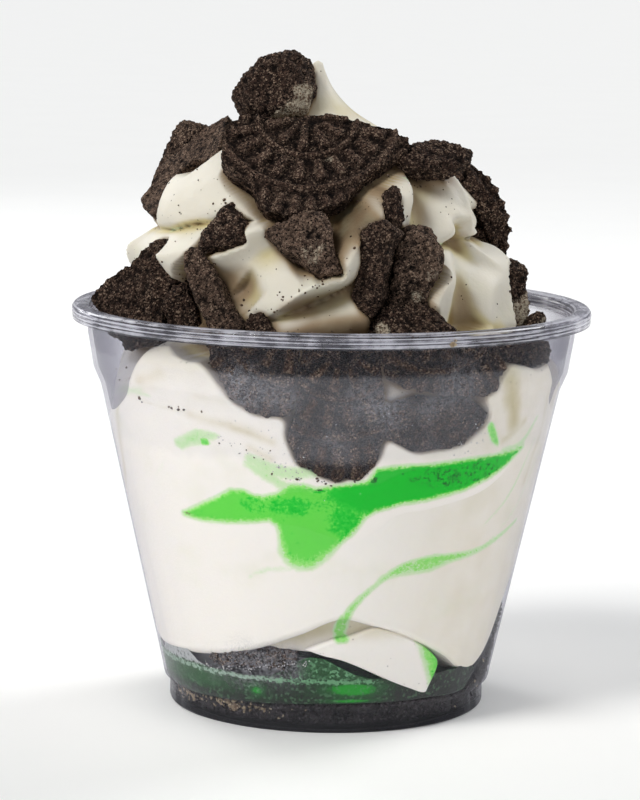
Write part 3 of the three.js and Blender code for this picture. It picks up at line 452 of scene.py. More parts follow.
def round_blank(name, columns, rows):
    """A closed round blank with a pole at either end, and each point's column and row on it."""
    start_fresh()
    bpy.ops.mesh.primitive_uv_sphere_add(segments=columns, ring_count=rows, radius=1)
    piece = bpy.context.object
    piece.name = name
    x, y, z = (points_of(piece) * MM).T
    row = np.round(np.arccos(np.clip(z, -1, 1)) / math.pi * rows)
    column = np.round(np.arctan2(y, x) / (2 * math.pi) * columns) % columns
    return piece, column, row


# ---------------------------------------------------------------- shader notation


class Level:
    """A number that a finish works out at each point. A sum on it adds Math nodes."""

    def __init__(self, finish, socket):
        self.finish = finish
        self.socket = socket

    def _sum(self, operation, *terms):
        return self.finish.level("ShaderNodeMath", {"operation": operation}, dict(enumerate(terms)))

    def __add__(self, other):
        return self._sum("ADD", self, other)

    def __sub__(self, other):
        return self._sum("SUBTRACT", self, other)

    def __rsub__(self, other):
        return self._sum("SUBTRACT", other, self)

    def __mul__(self, other):
        return self._sum("MULTIPLY", self, other)

    def __pow__(self, other):
        return self._sum("POWER", self, other)

    __radd__ = __add__
    __rmul__ = __mul__

    def rise(self, low, high):
        """0 below low, 1 above high and smooth between them."""
        limits = {"Value": self, "From Min": low, "From Max": high}
        return self.finish.level("ShaderNodeMapRange", {"interpolation_type": "SMOOTHSTEP"}, limits)


def rgb(code):
    """A hex colour as linear light."""
    parts = [int(code[i:i + 2], 16) / 255 for i in (0, 2, 4)]
    return (*[p / 12.92 if p <= 0.04045 else ((p + 0.055) / 1.055) ** 2.4 for p in parts], 1)


class Finish:
    """A material, and the nodes that it is mixed from."""

    def __init__(self, name):
        self.material = bpy.data.materials.new(name)
        self.material.use_nodes = True
        self.tree = self.material.node_tree
        self.tree.nodes.clear()
        self.here = self.add("ShaderNodeTexCoord").outputs["Object"]

    def add(self, kind, settings=None, inputs=None):
        """A node of a kind, with its settings set first and then its sockets' values or links."""
        node = self.tree.nodes.new(kind)
        for key, value in (settings or {}).items():
            setattr(node, key, value)
        for key, value in (inputs or {}).items():
            value = value.socket if isinstance(value, Level) else value
            value = rgb(value) if isinstance(value, str) else value
            if isinstance(value, bpy.types.NodeSocket):
                self.tree.links.new(value, node.inputs[key])
            else:
                node.inputs[key].default_value = value
        return node

    def level(self, kind, settings=None, inputs=None, output=0):
        return Level(self, self.add(kind, settings, inputs).outputs[output])

    def painted(self, name):
        """What was painted on the piece under a name."""
        return self.level("ShaderNodeAttribute", {"attribute_name": name}, output="Fac")

    def height(self):
        return self.level("ShaderNodeSeparateXYZ", inputs={0: self.here}, output="Z") * (1 / MM)

    def sine(self, angle):
        return self.level("ShaderNodeMath", {"operation": "SINE"}, {0: angle})

    def clouds(self, size, detail=2.0, roughness=0.5):
        """Soft noise from 0 to 1, in hills about `size` across."""
        inputs = {"Vector": self.here, "Scale": 1 / (size * MM), "Detail": detail,
                  "Roughness": roughness}
        return self.level("ShaderNodeTexNoise", inputs=inputs)

    def grains(self, size, output="Distance"):
        """The distance to the middle of the nearest grain, or that grain's random colour."""
        inputs = {"Vector": self.here, "Scale": 1 / (size * MM)}
        return self.level("ShaderNodeTexVoronoi", inputs=inputs, output=output)

    def grain_tone(self, size):
        """A number from 0 to 1 that is the same all over each grain."""
        return self.level("ShaderNodeSeparateColor", inputs={0: self.grains(size, "Color")})

    def blend(self, part, first, second):
        """From the first colour to the second as the part goes from 0 to 1."""
        node = self.add("ShaderNodeMix", {"data_type": "RGBA"}, {0: part, 6: first, 7: second})
        return node.outputs[2]

    def layered(self, colour, *layers):
        """A colour under layers, each how much of it shows and its colour."""
        for part, over in layers:
            colour = self.blend(part, colour, over)
        return colour

    def bump(self, height, depth, under=None):
        inputs = {"Height": height, "Distance": depth * MM}
        if under is not None:
            inputs["Normal"] = under
        return self.add("ShaderNodeBump", inputs=inputs).outputs[0]

    def principled(self, **inputs):
        named = {key.replace("_", " ").title().replace("Ior", "IOR"): value
                 for key, value in inputs.items()}
        return self.add("ShaderNodeBsdfPrincipled", inputs=named).outputs[0]

    def mix(self, part, first, second):
        return self.add("ShaderNodeMixShader", inputs={0: part, 1: first, 2: second}).outputs[0]

    def done(self, shader):
        self.add("ShaderNodeOutputMaterial", inputs={0: shader})
        return self.material


# ---------------------------------------------------------------- finishes


CREAM_IN_CUP = "FFF9F0"


def add_syrup(finish, colour):
    """Syrup over a colour: pale and thin at its edge, then bright, then deep."""
    syrup = finish.painted("syrup")
    streaks = finish.clouds(1.1, 4, 0.65) - 0.5
    blots = finish.clouds(0.5, 3, 0.6) - 0.5
    grit = finish.clouds(0.24, 2) - 0.5
    uneven = streaks * 0.5 + blots * 0.35 + grit * 0.4
    part = syrup + uneven * (syrup.rise(0.3, 0.6) * 0.7 + 0.3)
    deep = finish.painted("deep") + streaks * 1.1 + blots * 0.8 + grit * 0.4
    return finish.layered(
        colour,
        (part.rise(0.14, 0.36), "D4EEBE"),
        (part.rise(0.36, 0.5), "9CEA78"),
        (part.rise(0.5, 0.72), "66E04A"),
        (deep.rise(0.12, 0.4) * part.rise(0.45, 0.7), "1ED034"),
        (deep.rise(0.35, 0.6) * part.rise(0.5, 0.7), "00C828"),
        (deep.rise(1.15, 1.45) * part.rise(0.4, 0.6), "0C5C1E"))


def cream_finish():
    """Pale ice cream with painted shade, olive-brown in its hollows and darker where cookies shade
    it, a little dusty on top.
    """
    finish = Finish("soft_serve")
    # painted shade in the hollows, made a little uneven
    hollow_shade = finish.painted("hollow_shade")
    cloudy = finish.clouds(5, 3) - 0.5
    shade = hollow_shade + cloudy * 0.3 * hollow_shade.rise(0, 0.3)
    # painted shade where the cookies and the overhangs hide the sky
    sheltered = finish.painted("sheltered")
    tint = (finish.clouds(9, 3) - 0.5).rise(0.02, 0.3) * 0.22
    speck = finish.grain_tone(0.5).rise(0.955, 0.97) * finish.painted("dusty")
    colour = finish.layered(
        CREAM_IN_CUP,
        (finish.painted("free"), "DFD9CA"),
        (shade.rise(0.0, 0.5), "CFC294"),
        (shade.rise(0.4, 1.0), "8C7444"),
        (sheltered.rise(0.2, 0.7), "9A8468"),
        (sheltered.rise(0.6, 1.0), "4C3A24"),
        (tint, "DDE0BC"),
        (speck * (1 - finish.grains(0.5).rise(0.2, 0.4)), "4A3A20"))
    colour = add_syrup(finish, colour)
    normal = finish.bump(finish.clouds(0.9, 4, 0.6), 0.07)
    return finish.done(finish.principled(
        base_color=colour, roughness=0.5 - finish.painted("syrup") * 0.2, normal=normal, ior=1.36,
        subsurface_weight=0.15, subsurface_scale=0.0015, subsurface_radius=(1, 0.8, 0.5)))


def cookie_finish():
    """Dark baked crumb, brown on its crests and painted near black in its pits as shade, with light
    grains and filling.
    """
    finish = Finish("cookie_crumb")
    raised = finish.painted("raised")
    tone = finish.grain_tone(0.42)
    fine = finish.grain_tone(0.24)
    dusty = finish.clouds(5, 3).rise(0.38, 0.65)
    brown = finish.blend(finish.painted("smooth"), "44332B", "7C6658")
    filling = finish.painted("filling")
    patch = filling + (finish.clouds(1.7, 4, 0.7) - 0.5) * 1.7
    crumbled = finish.blend((fine + tone).rise(0.5, 1.1), "7A6452", "CFC2AC")
    # painted shade: near black in the pits and in the pressed pattern's grooves, brown on the
    # crests
    colour = finish.layered(
        "0E0705",
        (raised.rise(0.1, 0.95), brown),
        (tone.rise(0.45, 1.0) * raised.rise(0.2, 0.8) * 0.6, "6E584A"),
        (fine.rise(0.76, 0.9) * raised.rise(0.15, 0.7) * (dusty * 0.4 + 0.35), "AC9480"),
        (1 - fine.rise(0.05, 0.35), "0A0503"),
        (patch.rise(0.4, 0.8) * filling.rise(0.02, 0.2) * 0.9, crumbled))
    grit = finish.clouds(0.3, 3) - finish.grains(0.36) * 1.1
    normal = finish.bump(grit, 0.42)
    return finish.done(finish.principled(
        base_color=colour, roughness=0.8 + fine * 0.2, normal=normal, ior=1.38,
        specular_ior_level=0.22))


def crumb_finish(name, dark, light, pale):
    """Loose crumbs, each from dark to light, with a few pale grains."""
    finish = Finish(name)
    fine = finish.grain_tone(0.3)
    colour = finish.layered(
        dark, (finish.grain_tone(1.1), light), (fine.rise(0.86, 0.93) * 0.7, pale))
    normal = finish.bump(finish.clouds(0.3, 3), 0.2)
    return finish.done(finish.principled(
        base_color=colour, roughness=0.65 + fine * 0.3, normal=normal, ior=1.4))


def ribbon_finish():
    """Clean glossy syrup over ice cream."""
    finish = Finish("mint_syrup")
    colour = add_syrup(finish, CREAM_IN_CUP)
    normal = finish.bump(finish.clouds(2.5, 3), 0.08)
    return finish.done(finish.principled(
        base_color=colour, roughness=0.3 + finish.clouds(4) * 0.1, normal=normal, ior=1.42,
        specular_ior_level=0.15))


def pool_finish():
    """Syrup soaked with crumbs: dark green, brighter where it is clear, whitish at its edge."""
    finish = Finish("mint_syrup_with_crumbs")
    green = finish.painted("green")
    foam = finish.painted("foam")
    blots = finish.clouds(0.8, 4, 0.7) - 0.5
    fine = finish.grain_tone(0.4)
    part = green + blots * 0.7
    light = foam + (blots * 0.8 + (fine - 0.5) * 0.7) * foam.rise(0, 0.3)
    frothy = finish.blend(finish.painted("pale_green"), "BEBEC2", "6FA97A")
    colour = finish.layered(
        "161C18",
        (part.rise(0.1, 0.55), "124A1E"),
        (part.rise(0.6, 1.0), "06961C"),
        (fine.rise(0.8, 0.9) * 0.35, "5C8A60"),
        (light.rise(0.25, 0.75) * 0.85, frothy))
    normal = finish.bump(finish.clouds(1.2, 3), 0.1)
    return finish.done(finish.principled(
        base_color=colour, roughness=0.3 + fine * 0.1, normal=normal, ior=1.42))


# Frost on the outside of the cup, each patch's azimuth, height, size and strength
FROST = [
    (-20, 61.5, 6, 0.2), (-11, 60, 4.5, 0.14), (8, 60, 6, 0.12), (14, 57.6, 5, 0.16),
    (30, 62, 7, 0.12), (24, 58, 4, 0.1), (-27, 12, 7, 0.22), (-14, 12.6, 6, 0.22),
    (-40, 11, 5, 0.12), (0, 52, 5, 0.08),
]


def cup_finish():
    """Thin clear plastic. It reflects more and tints more the more it is seen edge-on, cold
    contents mist its outside, and fine painted bright and dark lines round its lip stand for
    its highlights and reflections."""
    finish = Finish("clear_plastic")
    edge_on = finish.level("ShaderNodeLayerWeight", inputs={"Blend": 0.5}, output="Facing")
    height = finish.height()
    outside = finish.painted("outside").rise(0.4, 0.6)
    lip = height.rise(68.2, 68.7)
    gloss = 0.02 + edge_on ** 5.0 * 0.5
    low = 1 - height.rise(4.6, 5.6)
    ragged = height + (finish.clouds(4, 3) - 0.5) * 2.5
    misted = ragged.rise(47.6, 50) * (1 - height.rise(63.2, 64.4))
    mist = (misted * (0.045 + finish.clouds(5, 4, 0.6) * 0.09) + low * 0.02) * outside
    patchy = (finish.clouds(1.6, 4, 0.7) + finish.grain_tone(0.3) * 0.5).rise(0.5, 1.0)
    for azimuth, place, size, amount in FROST:
        centre = tuple(around_axis(inner_radius(place) + WALL, azimuth, place) * MM)
        inputs = {0: finish.here, 1: centre}
        away = finish.level("ShaderNodeVectorMath", {"operation": "DISTANCE"}, inputs, "Value")
        frost = 1 - (away * (1 / MM)).rise(0.2 * size, size)
        mist = mist + frost * patchy * outside * amount
    # painted highlights and reflections round the lip: the bright lines add shine, the dark lines
    # darken the tint
    wave = finish.clouds(30, 2) * 1.1
    lines = finish.sine((height + wave) * 9.5) * 0.32 + finish.sine((height - wave) * 16.0) * 0.2
    lines = (lines + 0.5 + (finish.clouds(4, 3) - 0.5) * 1.6) * lip
    lip_haze_and_glints = lip * (0.04 + lines.rise(0.4, 1.0) * 0.5)
    normal = finish.bump(finish.clouds(11, 2) + lines * 0.15, 0.12)
    inner = finish.blend(edge_on ** 1.6, "F8F8FA", "8A8896")
    outer = finish.blend((edge_on ** 4.0) * 0.9, "FEFEFF", "A4A2B0")
    # the see-through tint: greyer edge-on, with the lip's painted dark reflection lines, and darker
    # at the very bottom
    tint = finish.layered(
        inner,
        (outside, outer),
        (lip * (1 - lines.rise(0.1, 0.6)) * 0.75, "6A6872"),
        ((1 - height.rise(1.4, 2.4)) * 0.9, "4C4A50"))
    clear = finish.add("ShaderNodeBsdfTransparent", inputs={0: tint}).outputs[0]
    shine = finish.principled(base_color="DEDEE8", roughness=0.08, normal=normal, ior=1.5)
    return finish.done(finish.mix(gloss + mist + lip_haze_and_glints, clear, shine))


def floor_finish():
    finish = Finish("pale_floor")
    colour = finish.blend(finish.clouds(60, 3), "F7F7F6", "FAFAF9")
    return finish.done(finish.principled(base_color=colour, roughness=0.7))


# ---------------------------------------------------------------- cup


def arc(centre, radius, start, end, steps):
    """Points of a round stretch, from one angle to another in degrees."""
    angles = np.radians(np.linspace(start, end, steps))
    return [(centre[0] + radius * math.cos(a), centre[1] + radius * math.sin(a)) for a in angles]


def make_cup(material):
    """The wall turns over at the top into a lip that is open underneath."""
    lip_bottom = RIM_HEIGHT - LIP_DEPTH
    top = OUTER_WALL[-1]
    crest = (top[0] + RIM_RADIUS) / 2
    foot = FOOT_RADIUS - FOOT_RING
    profile = [(0, FOOT_RECESS), (foot - 1.2, FOOT_RECESS), (foot - 0.4, 0.3), (foot, 0)]
    profile += arc((FOOT_RADIUS - 0.6, 0.6), 0.6, -90, 0, 5)
    profile += OUTER_WALL
    profile += [(top[0] + 0.15, lip_bottom), (top[0] + 0.5, RIM_HEIGHT - 1.6)]
    profile += arc((crest, RIM_HEIGHT - 1.9), 1.0, 150, 20, 7)
    profile += [(RIM_RADIUS - 0.75, lip_bottom + 0.2), (RIM_RADIUS - 0.5, lip_bottom)]
    profile += [(RIM_RADIUS - 0.15, lip_bottom + 0.05)]
    profile += arc((RIM_RADIUS - 1.1, RIM_HEIGHT - 1.1), 1.1, 0, 95, 7)
    profile += arc((top[0] + 0.75, RIM_HEIGHT - 1.35), 1.3, 95, 165, 6)
    profile += [(radius - WALL, height) for radius, height in reversed(OUTER_WALL)]
    profile += arc((FOOT_RADIUS - WALL - 0.8, FLOOR_HEIGHT + 0.8), 0.8, 0, -90, 5)
    profile += [(0, FLOOR_HEIGHT)]
    start_fresh()
    bpy.ops.mesh.primitive_plane_add(size=MM)
    cup = bpy.context.object
    cup.name = "clear_cup"
    mesh = cup.data
    mesh.clear_geometry()
    mesh.from_pydata([(r * MM, 0, z * MM) for r, z in profile],
                     [(i, i + 1) for i in range(len(profile) - 1)], [])
    bpy.ops.object.mode_set(mode="EDIT")
    bpy.ops.mesh.select_all(action="SELECT")
    bpy.ops.mesh.spin(steps=CUP_SIDES, angle=2 * math.pi, center=(0, 0, 0), axis=(0, 0, 1))
    bpy.ops.mesh.select_all(action="SELECT")
    bpy.ops.mesh.remove_doubles(threshold=1e-6)
    bpy.ops.mesh.normals_make_consistent(inside=False)
    bpy.ops.object.mode_set(mode="OBJECT")
    points = points_of(cup)
    radius = np.hypot(points[:, 0], points[:, 1])
    outside = radius > inner_radius(points[:, 2]) + WALL / 2
    # faint upright grooves round the foot
    angle = np.degrees(np.arctan2(points[:, 1], points[:, 0]))
    in_groove = np.abs(angle % GROOVE_STEP - GROOVE_STEP / 2) < 1
    groove = outside & in_groove & (points[:, 2] > 0.5) & (points[:, 2] < 5)
    points[groove, :2] *= 1 - GROOVE_DEPTH / FOOT_RADIUS
    place_points(cup, points)
    paint(cup, "outside", outside)
    finish_piece(cup, material)
    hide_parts("cup")


# ---------------------------------------------------------------- syrup on the ice cream

# Where syrup shows against the wall: outlines of (azimuth, height)
RIBBON_OUTLINE = [
    (-43, 37.8), (-37, 39.5), (-30, 41.6), (-26, 43.1), (-22.3, 43.1), (-19.8, 42.4), (-17, 42.3),
    (-13, 43), (-9.6, 44.7), (-6.3, 44.7), (-3.3, 44.1), (0.3, 44.5), (9.9, 45.4), (12.3, 47.6),
    (18, 48), (26, 48), (38, 48.4), (49, 48.5), (55, 48.7), (59, 49.2),
    (52, 46.6), (47, 45.1), (38, 43.4), (27, 42.2), (19, 41.7), (12, 40.5), (9.4, 39.4),
    (6.4, 36.6), (3.7, 35.3), (1, 33.6), (-2.2, 32), (-5.1, 30.9), (-8, 30.8), (-10.6, 31.6),
    (-12.2, 33.1), (-12.6, 35.4), (-13.2, 37.4), (-15.5, 38.6), (-20.7, 38.1), (-26, 37.7),
    (-31, 37.5), (-37.6, 37.4),
]
# Where it is deepest, each (azimuth, height, size along, size up, depth)
DEEP = [
    (-10, 41, 8, 2, 0.42), (-20, 41, 5, 1.6, 0.26),
    (36, 46, 34, 4.6, 1.2), (16, 43.4, 18, 4.2, 0.95), (5, 38.5, 6, 4, 0.4), (50, 48, 10, 2.2, 1.1),
    (-2.6, 44.2, 2.2, 0.6, 1.5), (11.4, 45.8, 1.6, 1.4, 1.45),
]
# Streaks, each a line of (azimuth, height), its half widths, the softness of its edge and how
# strong it is
STREAKS = [
    ([(4, 17.6), (7, 22.7), (14, 27.1), (21, 30), (30, 31), (37, 31), (49, 31.8), (67, 35.2)],
     (1.1, 0.7, 0.4, 0.7, 1.0, 0.9, 0.5, 0.3), 1.6, 0.52),
    ([(7, 22.7), (14, 27.1), (21, 30)], (0.2, 0.25, 0.2), 0.7, 0.58),
    ([(15, 28.2), (22, 29.6), (30, 30), (39, 30.8)], (0.3, 1.1, 1.2, 0.4), 2.4, 0.5),
    ([(5.4, 17.4), (3.6, 18.8), (4.4, 21.6)], (0.9, 1, 0.3), 1.2, 0.5),
    ([(-40, 50), (-37, 51.4), (-34, 52.4)], (0.8, 1.2, 0.6), 1.8, 0.42),
    ([(-21, 48.2), (-16, 46.4), (-11, 44.4)], (0.8, 1.2, 1), 3, 0.4),
    ([(-41, 50.4), (-34, 52), (-28, 52.6)], (1, 1.6, 0.4), 2.2, 0.4),
    ([(-33, 51.2), (-31.6, 51.2)], (0.5, 0.5), 0.8, 0.75),
    ([(-66, 57), (-58, 58.4), (-48, 58)], (0.8, 1, 0.6), 2, 0.26),
    ([(-54, 43), (-50, 45), (-45, 48)], (0.3, 0.6, 0.3), 2, 0.24),
    ([(48, 36), (58, 41), (66, 50)], (0.2, 0.4, 0.2), 1.6, 0.4),
    ([(52, 33), (64, 38), (74, 48)], (0.2, 0.3, 0.2), 1.6, 0.34),
    ([(50, 49), (58, 50), (64, 54)], (0.8, 0.6, 0.3), 2.2, 0.46),
    ([(43, 54), (45, 52), (47, 50.6)], (0.8, 0.9, 0.4), 1.2, 0.62),
    ([(-24, 27.4), (-18, 29.4), (-8, 30)], (0.3, 0.8, 0.6), 3, 0.3),
    ([(-20, 49), (-12, 47), (-2, 47.4)], (1.2, 1.5, 1), 2.4, 0.36),
    ([(-66, 84.8), (-56, 85.6), (-44, 86.6)], (0.8, 0.6, 0.3), 2.2, 0.26),
    ([(-84, 55), (-72, 57), (-60, 57.8), (-50, 59.4)], (0.8, 1.2, 1.2, 0.6), 2.4, 0.24),
    ([(46, 82.6), (52, 83.4), (60, 83.9)], (0.3, 0.3, 0.3), 1, 0.5),
    ([(41, 94.6), (50, 94.3)], (0.3, 0.3), 1, 0.5),
]


def streak(line, widths, soft, azimuth, z):
    """1 in a streak along a line of (azimuth, height), falling to 0 over its soft edge."""
    scale = math.radians(1) * np.interp(line[0][1], [0, 57, 84, 114], [28, 40, 30, 10])
    curve = spline(line, 6)
    curve[:, 0] *= scale
    distance, _, place = nearest_on(curve, azimuth * scale, z)
    width = np.interp(place, np.linspace(0, 1, len(widths)), widths)
    return 1 - rise(distance - width, -soft / 2, soft / 2)


def paint_syrup(piece, azimuth, z, covered=0.0):
    """How much syrup lies at each point, with 0.5 at its edge, and how deep it is."""
    # its edge is softer where the blob runs out at the bottom
    softer = 3.4 * spot(azimuth, z, (-7, 31.5), (9, 3))
    syrup = np.clip(0.5 + outline_depth(RIBBON_OUTLINE, azimuth, z) / (2.4 + softer), 0, 1)
    for line, widths, soft, strength in STREAKS:
        syrup = np.maximum(syrup, strength * streak(line, widths, soft, azimuth, z))
    deep = np.zeros(len(z))
    for a, h, along, up, depth in DEEP:
        far = np.hypot((azimuth - a) / along, (z - h) / up)
        deep = np.maximum(deep, depth * (1 - rise(far, 0.3, 1.3)))
    paint(piece, "syrup", np.clip(np.maximum(syrup, covered), 0, 1))
    paint(piece, "deep", deep)


# ---------------------------------------------------------------- ice cream


def blur(grid, steps):
    """A grid of (row, column) values averaged over its neighbours; columns go all round."""
    for _ in range(3):
        rows = np.pad(grid, ((steps, steps), (0, 0)), "edge")
        grid = sum(rows[i:i + len(grid)] for i in range(2 * steps + 1)) / (2 * steps + 1)
        grid = sum(np.roll(grid, i, 1) for i in range(-steps, steps + 1)) / (2 * steps + 1)
    return grid


def cookie_nodes():
    """The names of the frame's pieces of cookie."""
    names = [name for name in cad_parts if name.startswith("cookie_")]
    return sorted(name for name in names if name != "cookie_crumbs")


def behind_cookies(radius, azimuth, z, row, column):
    """The ice cream's radius, set back behind the outer face of any cookie that it would cover."""
    covered = np.zeros((row.max() + 1, column.max() + 1))
    depth = np.zeros(covered.shape)
    places = around_axis(radius, azimuth, z)
    for name in cookie_nodes():
        if name in NOT_COVERED:
            continue
        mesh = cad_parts[name].data
        corners = [vertex.co / MM for vertex in mesh.vertices]
        tree = BVHTree.FromPolygons(corners, [tuple(face.vertices) for face in mesh.polygons])
        low, high = np.min(corners, axis=0), np.max(corners, axis=0)
        near = np.all((places > low - NEAR_COOKIE) & (places < high + NEAR_COOKIE), axis=1)
        level = (z > low[2]) & (z < high[2])
        for k in np.flatnonzero(near & level):
            away = Vector(around_axis(1.0, azimuth[k], 0))
            start = Vector((swirl_shift(z[k]), 0, z[k])) + away * FAR_OUT
            hit = tree.ray_cast(start, -away, FAR_OUT)[3]
            if hit is not None and radius[k] > FAR_OUT - hit - COVER_MARGIN:
                covered[row[k], column[k]] = 1
                depth[row[k], column[k]] = radius[k] - (FAR_OUT - hit) + SUNK
    # and behind all of the cookies against the wall, also in the gaps between them
    uneven = clouds(places, 2.4, 15)
    gap = (outline_depth(COOKIE_WINDOW, azimuth, z) > 3.4 + uneven) & (z < 66)
    gap_row, gap_column = row[gap], column[gap]
    covered[gap_row, gap_column] = 1
    depth[gap_row, gap_column] = np.maximum(depth[gap_row, gap_column], GAP_DEPTH)
    share = blur(covered, 1)
    depth = blur(depth, 1) / np.maximum(share, 0.05)
    return radius - (depth * rise(share, 0.5, 0.95))[row, column]


def make_ice_cream(material):
    """The swirled mound and what fills the cup, as one closed form."""
    columns, wall_rows, edge_rows, floor_rows = 400, 212, 6, 8
    rows = wall_rows + edge_rows + floor_rows
    cream, column, row = round_blank("soft_serve_swirl", columns, rows)
    angle = (column / columns) * 360 - 180
    azimuth = angle - CROWDING * np.sin(np.radians(angle))
    edge = lower_edge(azimuth)
    # down the outside, then round the lower edge, then in to the axis
    down = np.clip(row / wall_rows, 0, 1)
    z = PEAK_HEIGHT - down * (PEAK_HEIGHT - edge - EDGE_ROUND)
    row, column = row.astype(int), column.astype(int)
    radius = behind_cookies(cream_radius(azimuth, z), azimuth, z, row, column)
    # how deep each point lies in a hollow, how much further out its surroundings are, which sets
    # how much shade is painted there
    grid = np.zeros((rows + 1, columns))
    grid[row, column] = np.minimum(radius, inner_radius(z))
    hollow_shade = (blur(grid, 5) - grid)[row, column]
    radius = np.where(row == 0, 0, radius)
    bend = np.radians(90 * np.clip((row - wall_rows) / edge_rows, 0, 1))
    radius = radius - EDGE_ROUND * (1 - np.cos(bend))
    z = z - EDGE_ROUND * np.sin(bend)
    inwards = np.clip((row - wall_rows - edge_rows) / floor_rows, 0, 1)
    radius = radius * (1 - inwards)
    z = z + (BOTTOM_HEIGHT - z) * rise(inwards, 0, 1)
    points = around_axis(radius, azimuth, z)
    points[:, 0] += swirl_shift(z)
    # soft lumps where it is free of the wall, but not on the fine peak
    free = rise(inner_radius(z) - radius, 0.3, 2) * np.where(row == 0, 0, 1)
    free = np.where(z > RIM_HEIGHT, 1, free) * (1 - rise(z, 104, 112))
    lumps = 0.3 * clouds(points, 6, 5) + 0.12 * clouds(points, 2.4, 6)
    points += (free * lumps)[:, None] * outwards(azimuth)
    place_points(cream, points)
    paint_syrup(cream, azimuth, z)
    # the hollows' painted shade, weaker in the cup
    in_cup = 1 - rise(z, 60, 68)
    hollow_shade = np.clip(hollow_shade * (0.6 - 0.4 * in_cup), 0, 1) * np.maximum(free, in_cup)
    # lines of painted shade where the ice cream lies against the wall
    for line, half, soft, amount in WALL_SHADES:
        hollow_shade = np.maximum(hollow_shade, amount * streak(line, [half], soft, azimuth, z))
    # a little more shade towards the right
    right = rise(azimuth, -5, 45) * (1 - rise(azimuth, 80, 120)) * in_cup
    paint(cream, "hollow_shade", np.maximum(hollow_shade, 0.15 * right))
    paint(cream, "free", rise(z, 58, 70))
    paint(cream, "dusty", rise(z, 50, 66) * rise(clouds(points, 6, 9), -0.2, 0.6))
    finish_piece(cream, material)
    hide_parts("ice_cream")
    return cream, row, column


# Deep shade under the overhangs in front, each (azimuth, height, size along, size up, amount),
# and how many mm each rises with every degree
SHADES = [
    (2, 69.4, 25, 4.2, 0.72), (14, 89, 11, 6, 0.68), (4, 84, 9, 4, 0.56),
    (-29, 77.5, 9, 4.6, 0.42), (30, 79, 14, 3, 0.46), (-4, 75, 14, 2, 0.56),
    (51, 75, 9, 6, 0.46), (47, 90, 7, 5, 0.42),
]
SHADE_SLOPE = 0.12


def sky_directions(count):
    """Directions spread evenly over the upper two thirds of a sphere."""
    i = np.arange(count) + 0.5
    height = 1 - 1.35 * i / count
    turn = math.pi * (1 + 5 ** 0.5) * i
    flat = np.sqrt(1 - height ** 2)
    return np.stack([flat * np.cos(turn), flat * np.sin(turn), height], axis=1)


def paint_shelter(cream, row, column, cookies):
    """How much of the sky each point of the ice cream is hidden from by what lies round it, painted
    on it as shade.
    """
    graph = bpy.context.evaluated_depsgraph_get()
    points, normals = points_of(cream), normals_of(cream)
    swirl = BVHTree.FromObject(cream, graph)
    around = []
    for cookie in cookies:
        corners = points_of(cookie)
        if corners[:, 2].max() > 60:
            box = (corners.min(axis=0) - SKY_NEAR, corners.max(axis=0) + SKY_NEAR)
            around.append((BVHTree.FromObject(cookie, graph), *box))
    hidden = np.zeros(len(points))
    directions = sky_directions(SKY_RAYS)
    # only where it is free of the cup, and not at the back
    for k in np.flatnonzero((points[:, 2] > 44) & (points[:, 1] < 30)):
        start = Vector(points[k] + 0.3 * normals[k]) * MM
        near = [swirl] + [tree for tree, low, high in around
                          if np.all(points[k] > low) and np.all(points[k] < high)]
        total = blocked = 0.0
        for direction in directions:
            weight = float(normals[k] @ direction)
            if weight <= 0.05:
                continue
            total += weight
            ray = Vector(direction)
            if any(tree.ray_cast(start, ray, SKY_REACH * MM)[0] is not None for tree in near):
                blocked += weight
        hidden[k] = blocked / max(total, 0.01)
    x, y, z = points.T
    azimuth = np.degrees(np.arctan2(x - swirl_shift(z), -y))
    for middle, height, along_it, up, amount in SHADES:
        around_it = azimuth - middle
        far = np.hypot(around_it / along_it, (z - height - SHADE_SLOPE * around_it) / up)
        hidden = np.maximum(hidden, hidden * 0.5 + amount * (1 - rise(far, 0.5, 1.15)))
    grid = np.zeros((row.max() + 1, column.max() + 1))
    grid[row, column] = hidden
    paint(cream, "sheltered", blur(grid, 1)[row, column])


# The outlines of the two low folds in front, of (azimuth, height)
LOW_FOLD = [
    (-7.4, 15.3), (1, 17.2), (7, 18), (14, 19.3), (20, 18.6), (28, 16.8), (36.4, 14), (40.8, 11.3),
    (38.4, 7.1), (36.6, 6), (29.8, 7.3), (21.8, 9.1), (12.7, 11.5), (4.4, 13.4), (-2.7, 14.4),
]
FOLD_BEHIND = [
    (-22, 15.6), (-13, 17.8), (-3, 19.8), (8, 21.4), (20, 20.4), (10, 16), (1, 14.6), (-7, 14.6),
    (-16, 14.9),
]
EDGE_DEPTH = 1.6
FOLD_DEPTH = 6


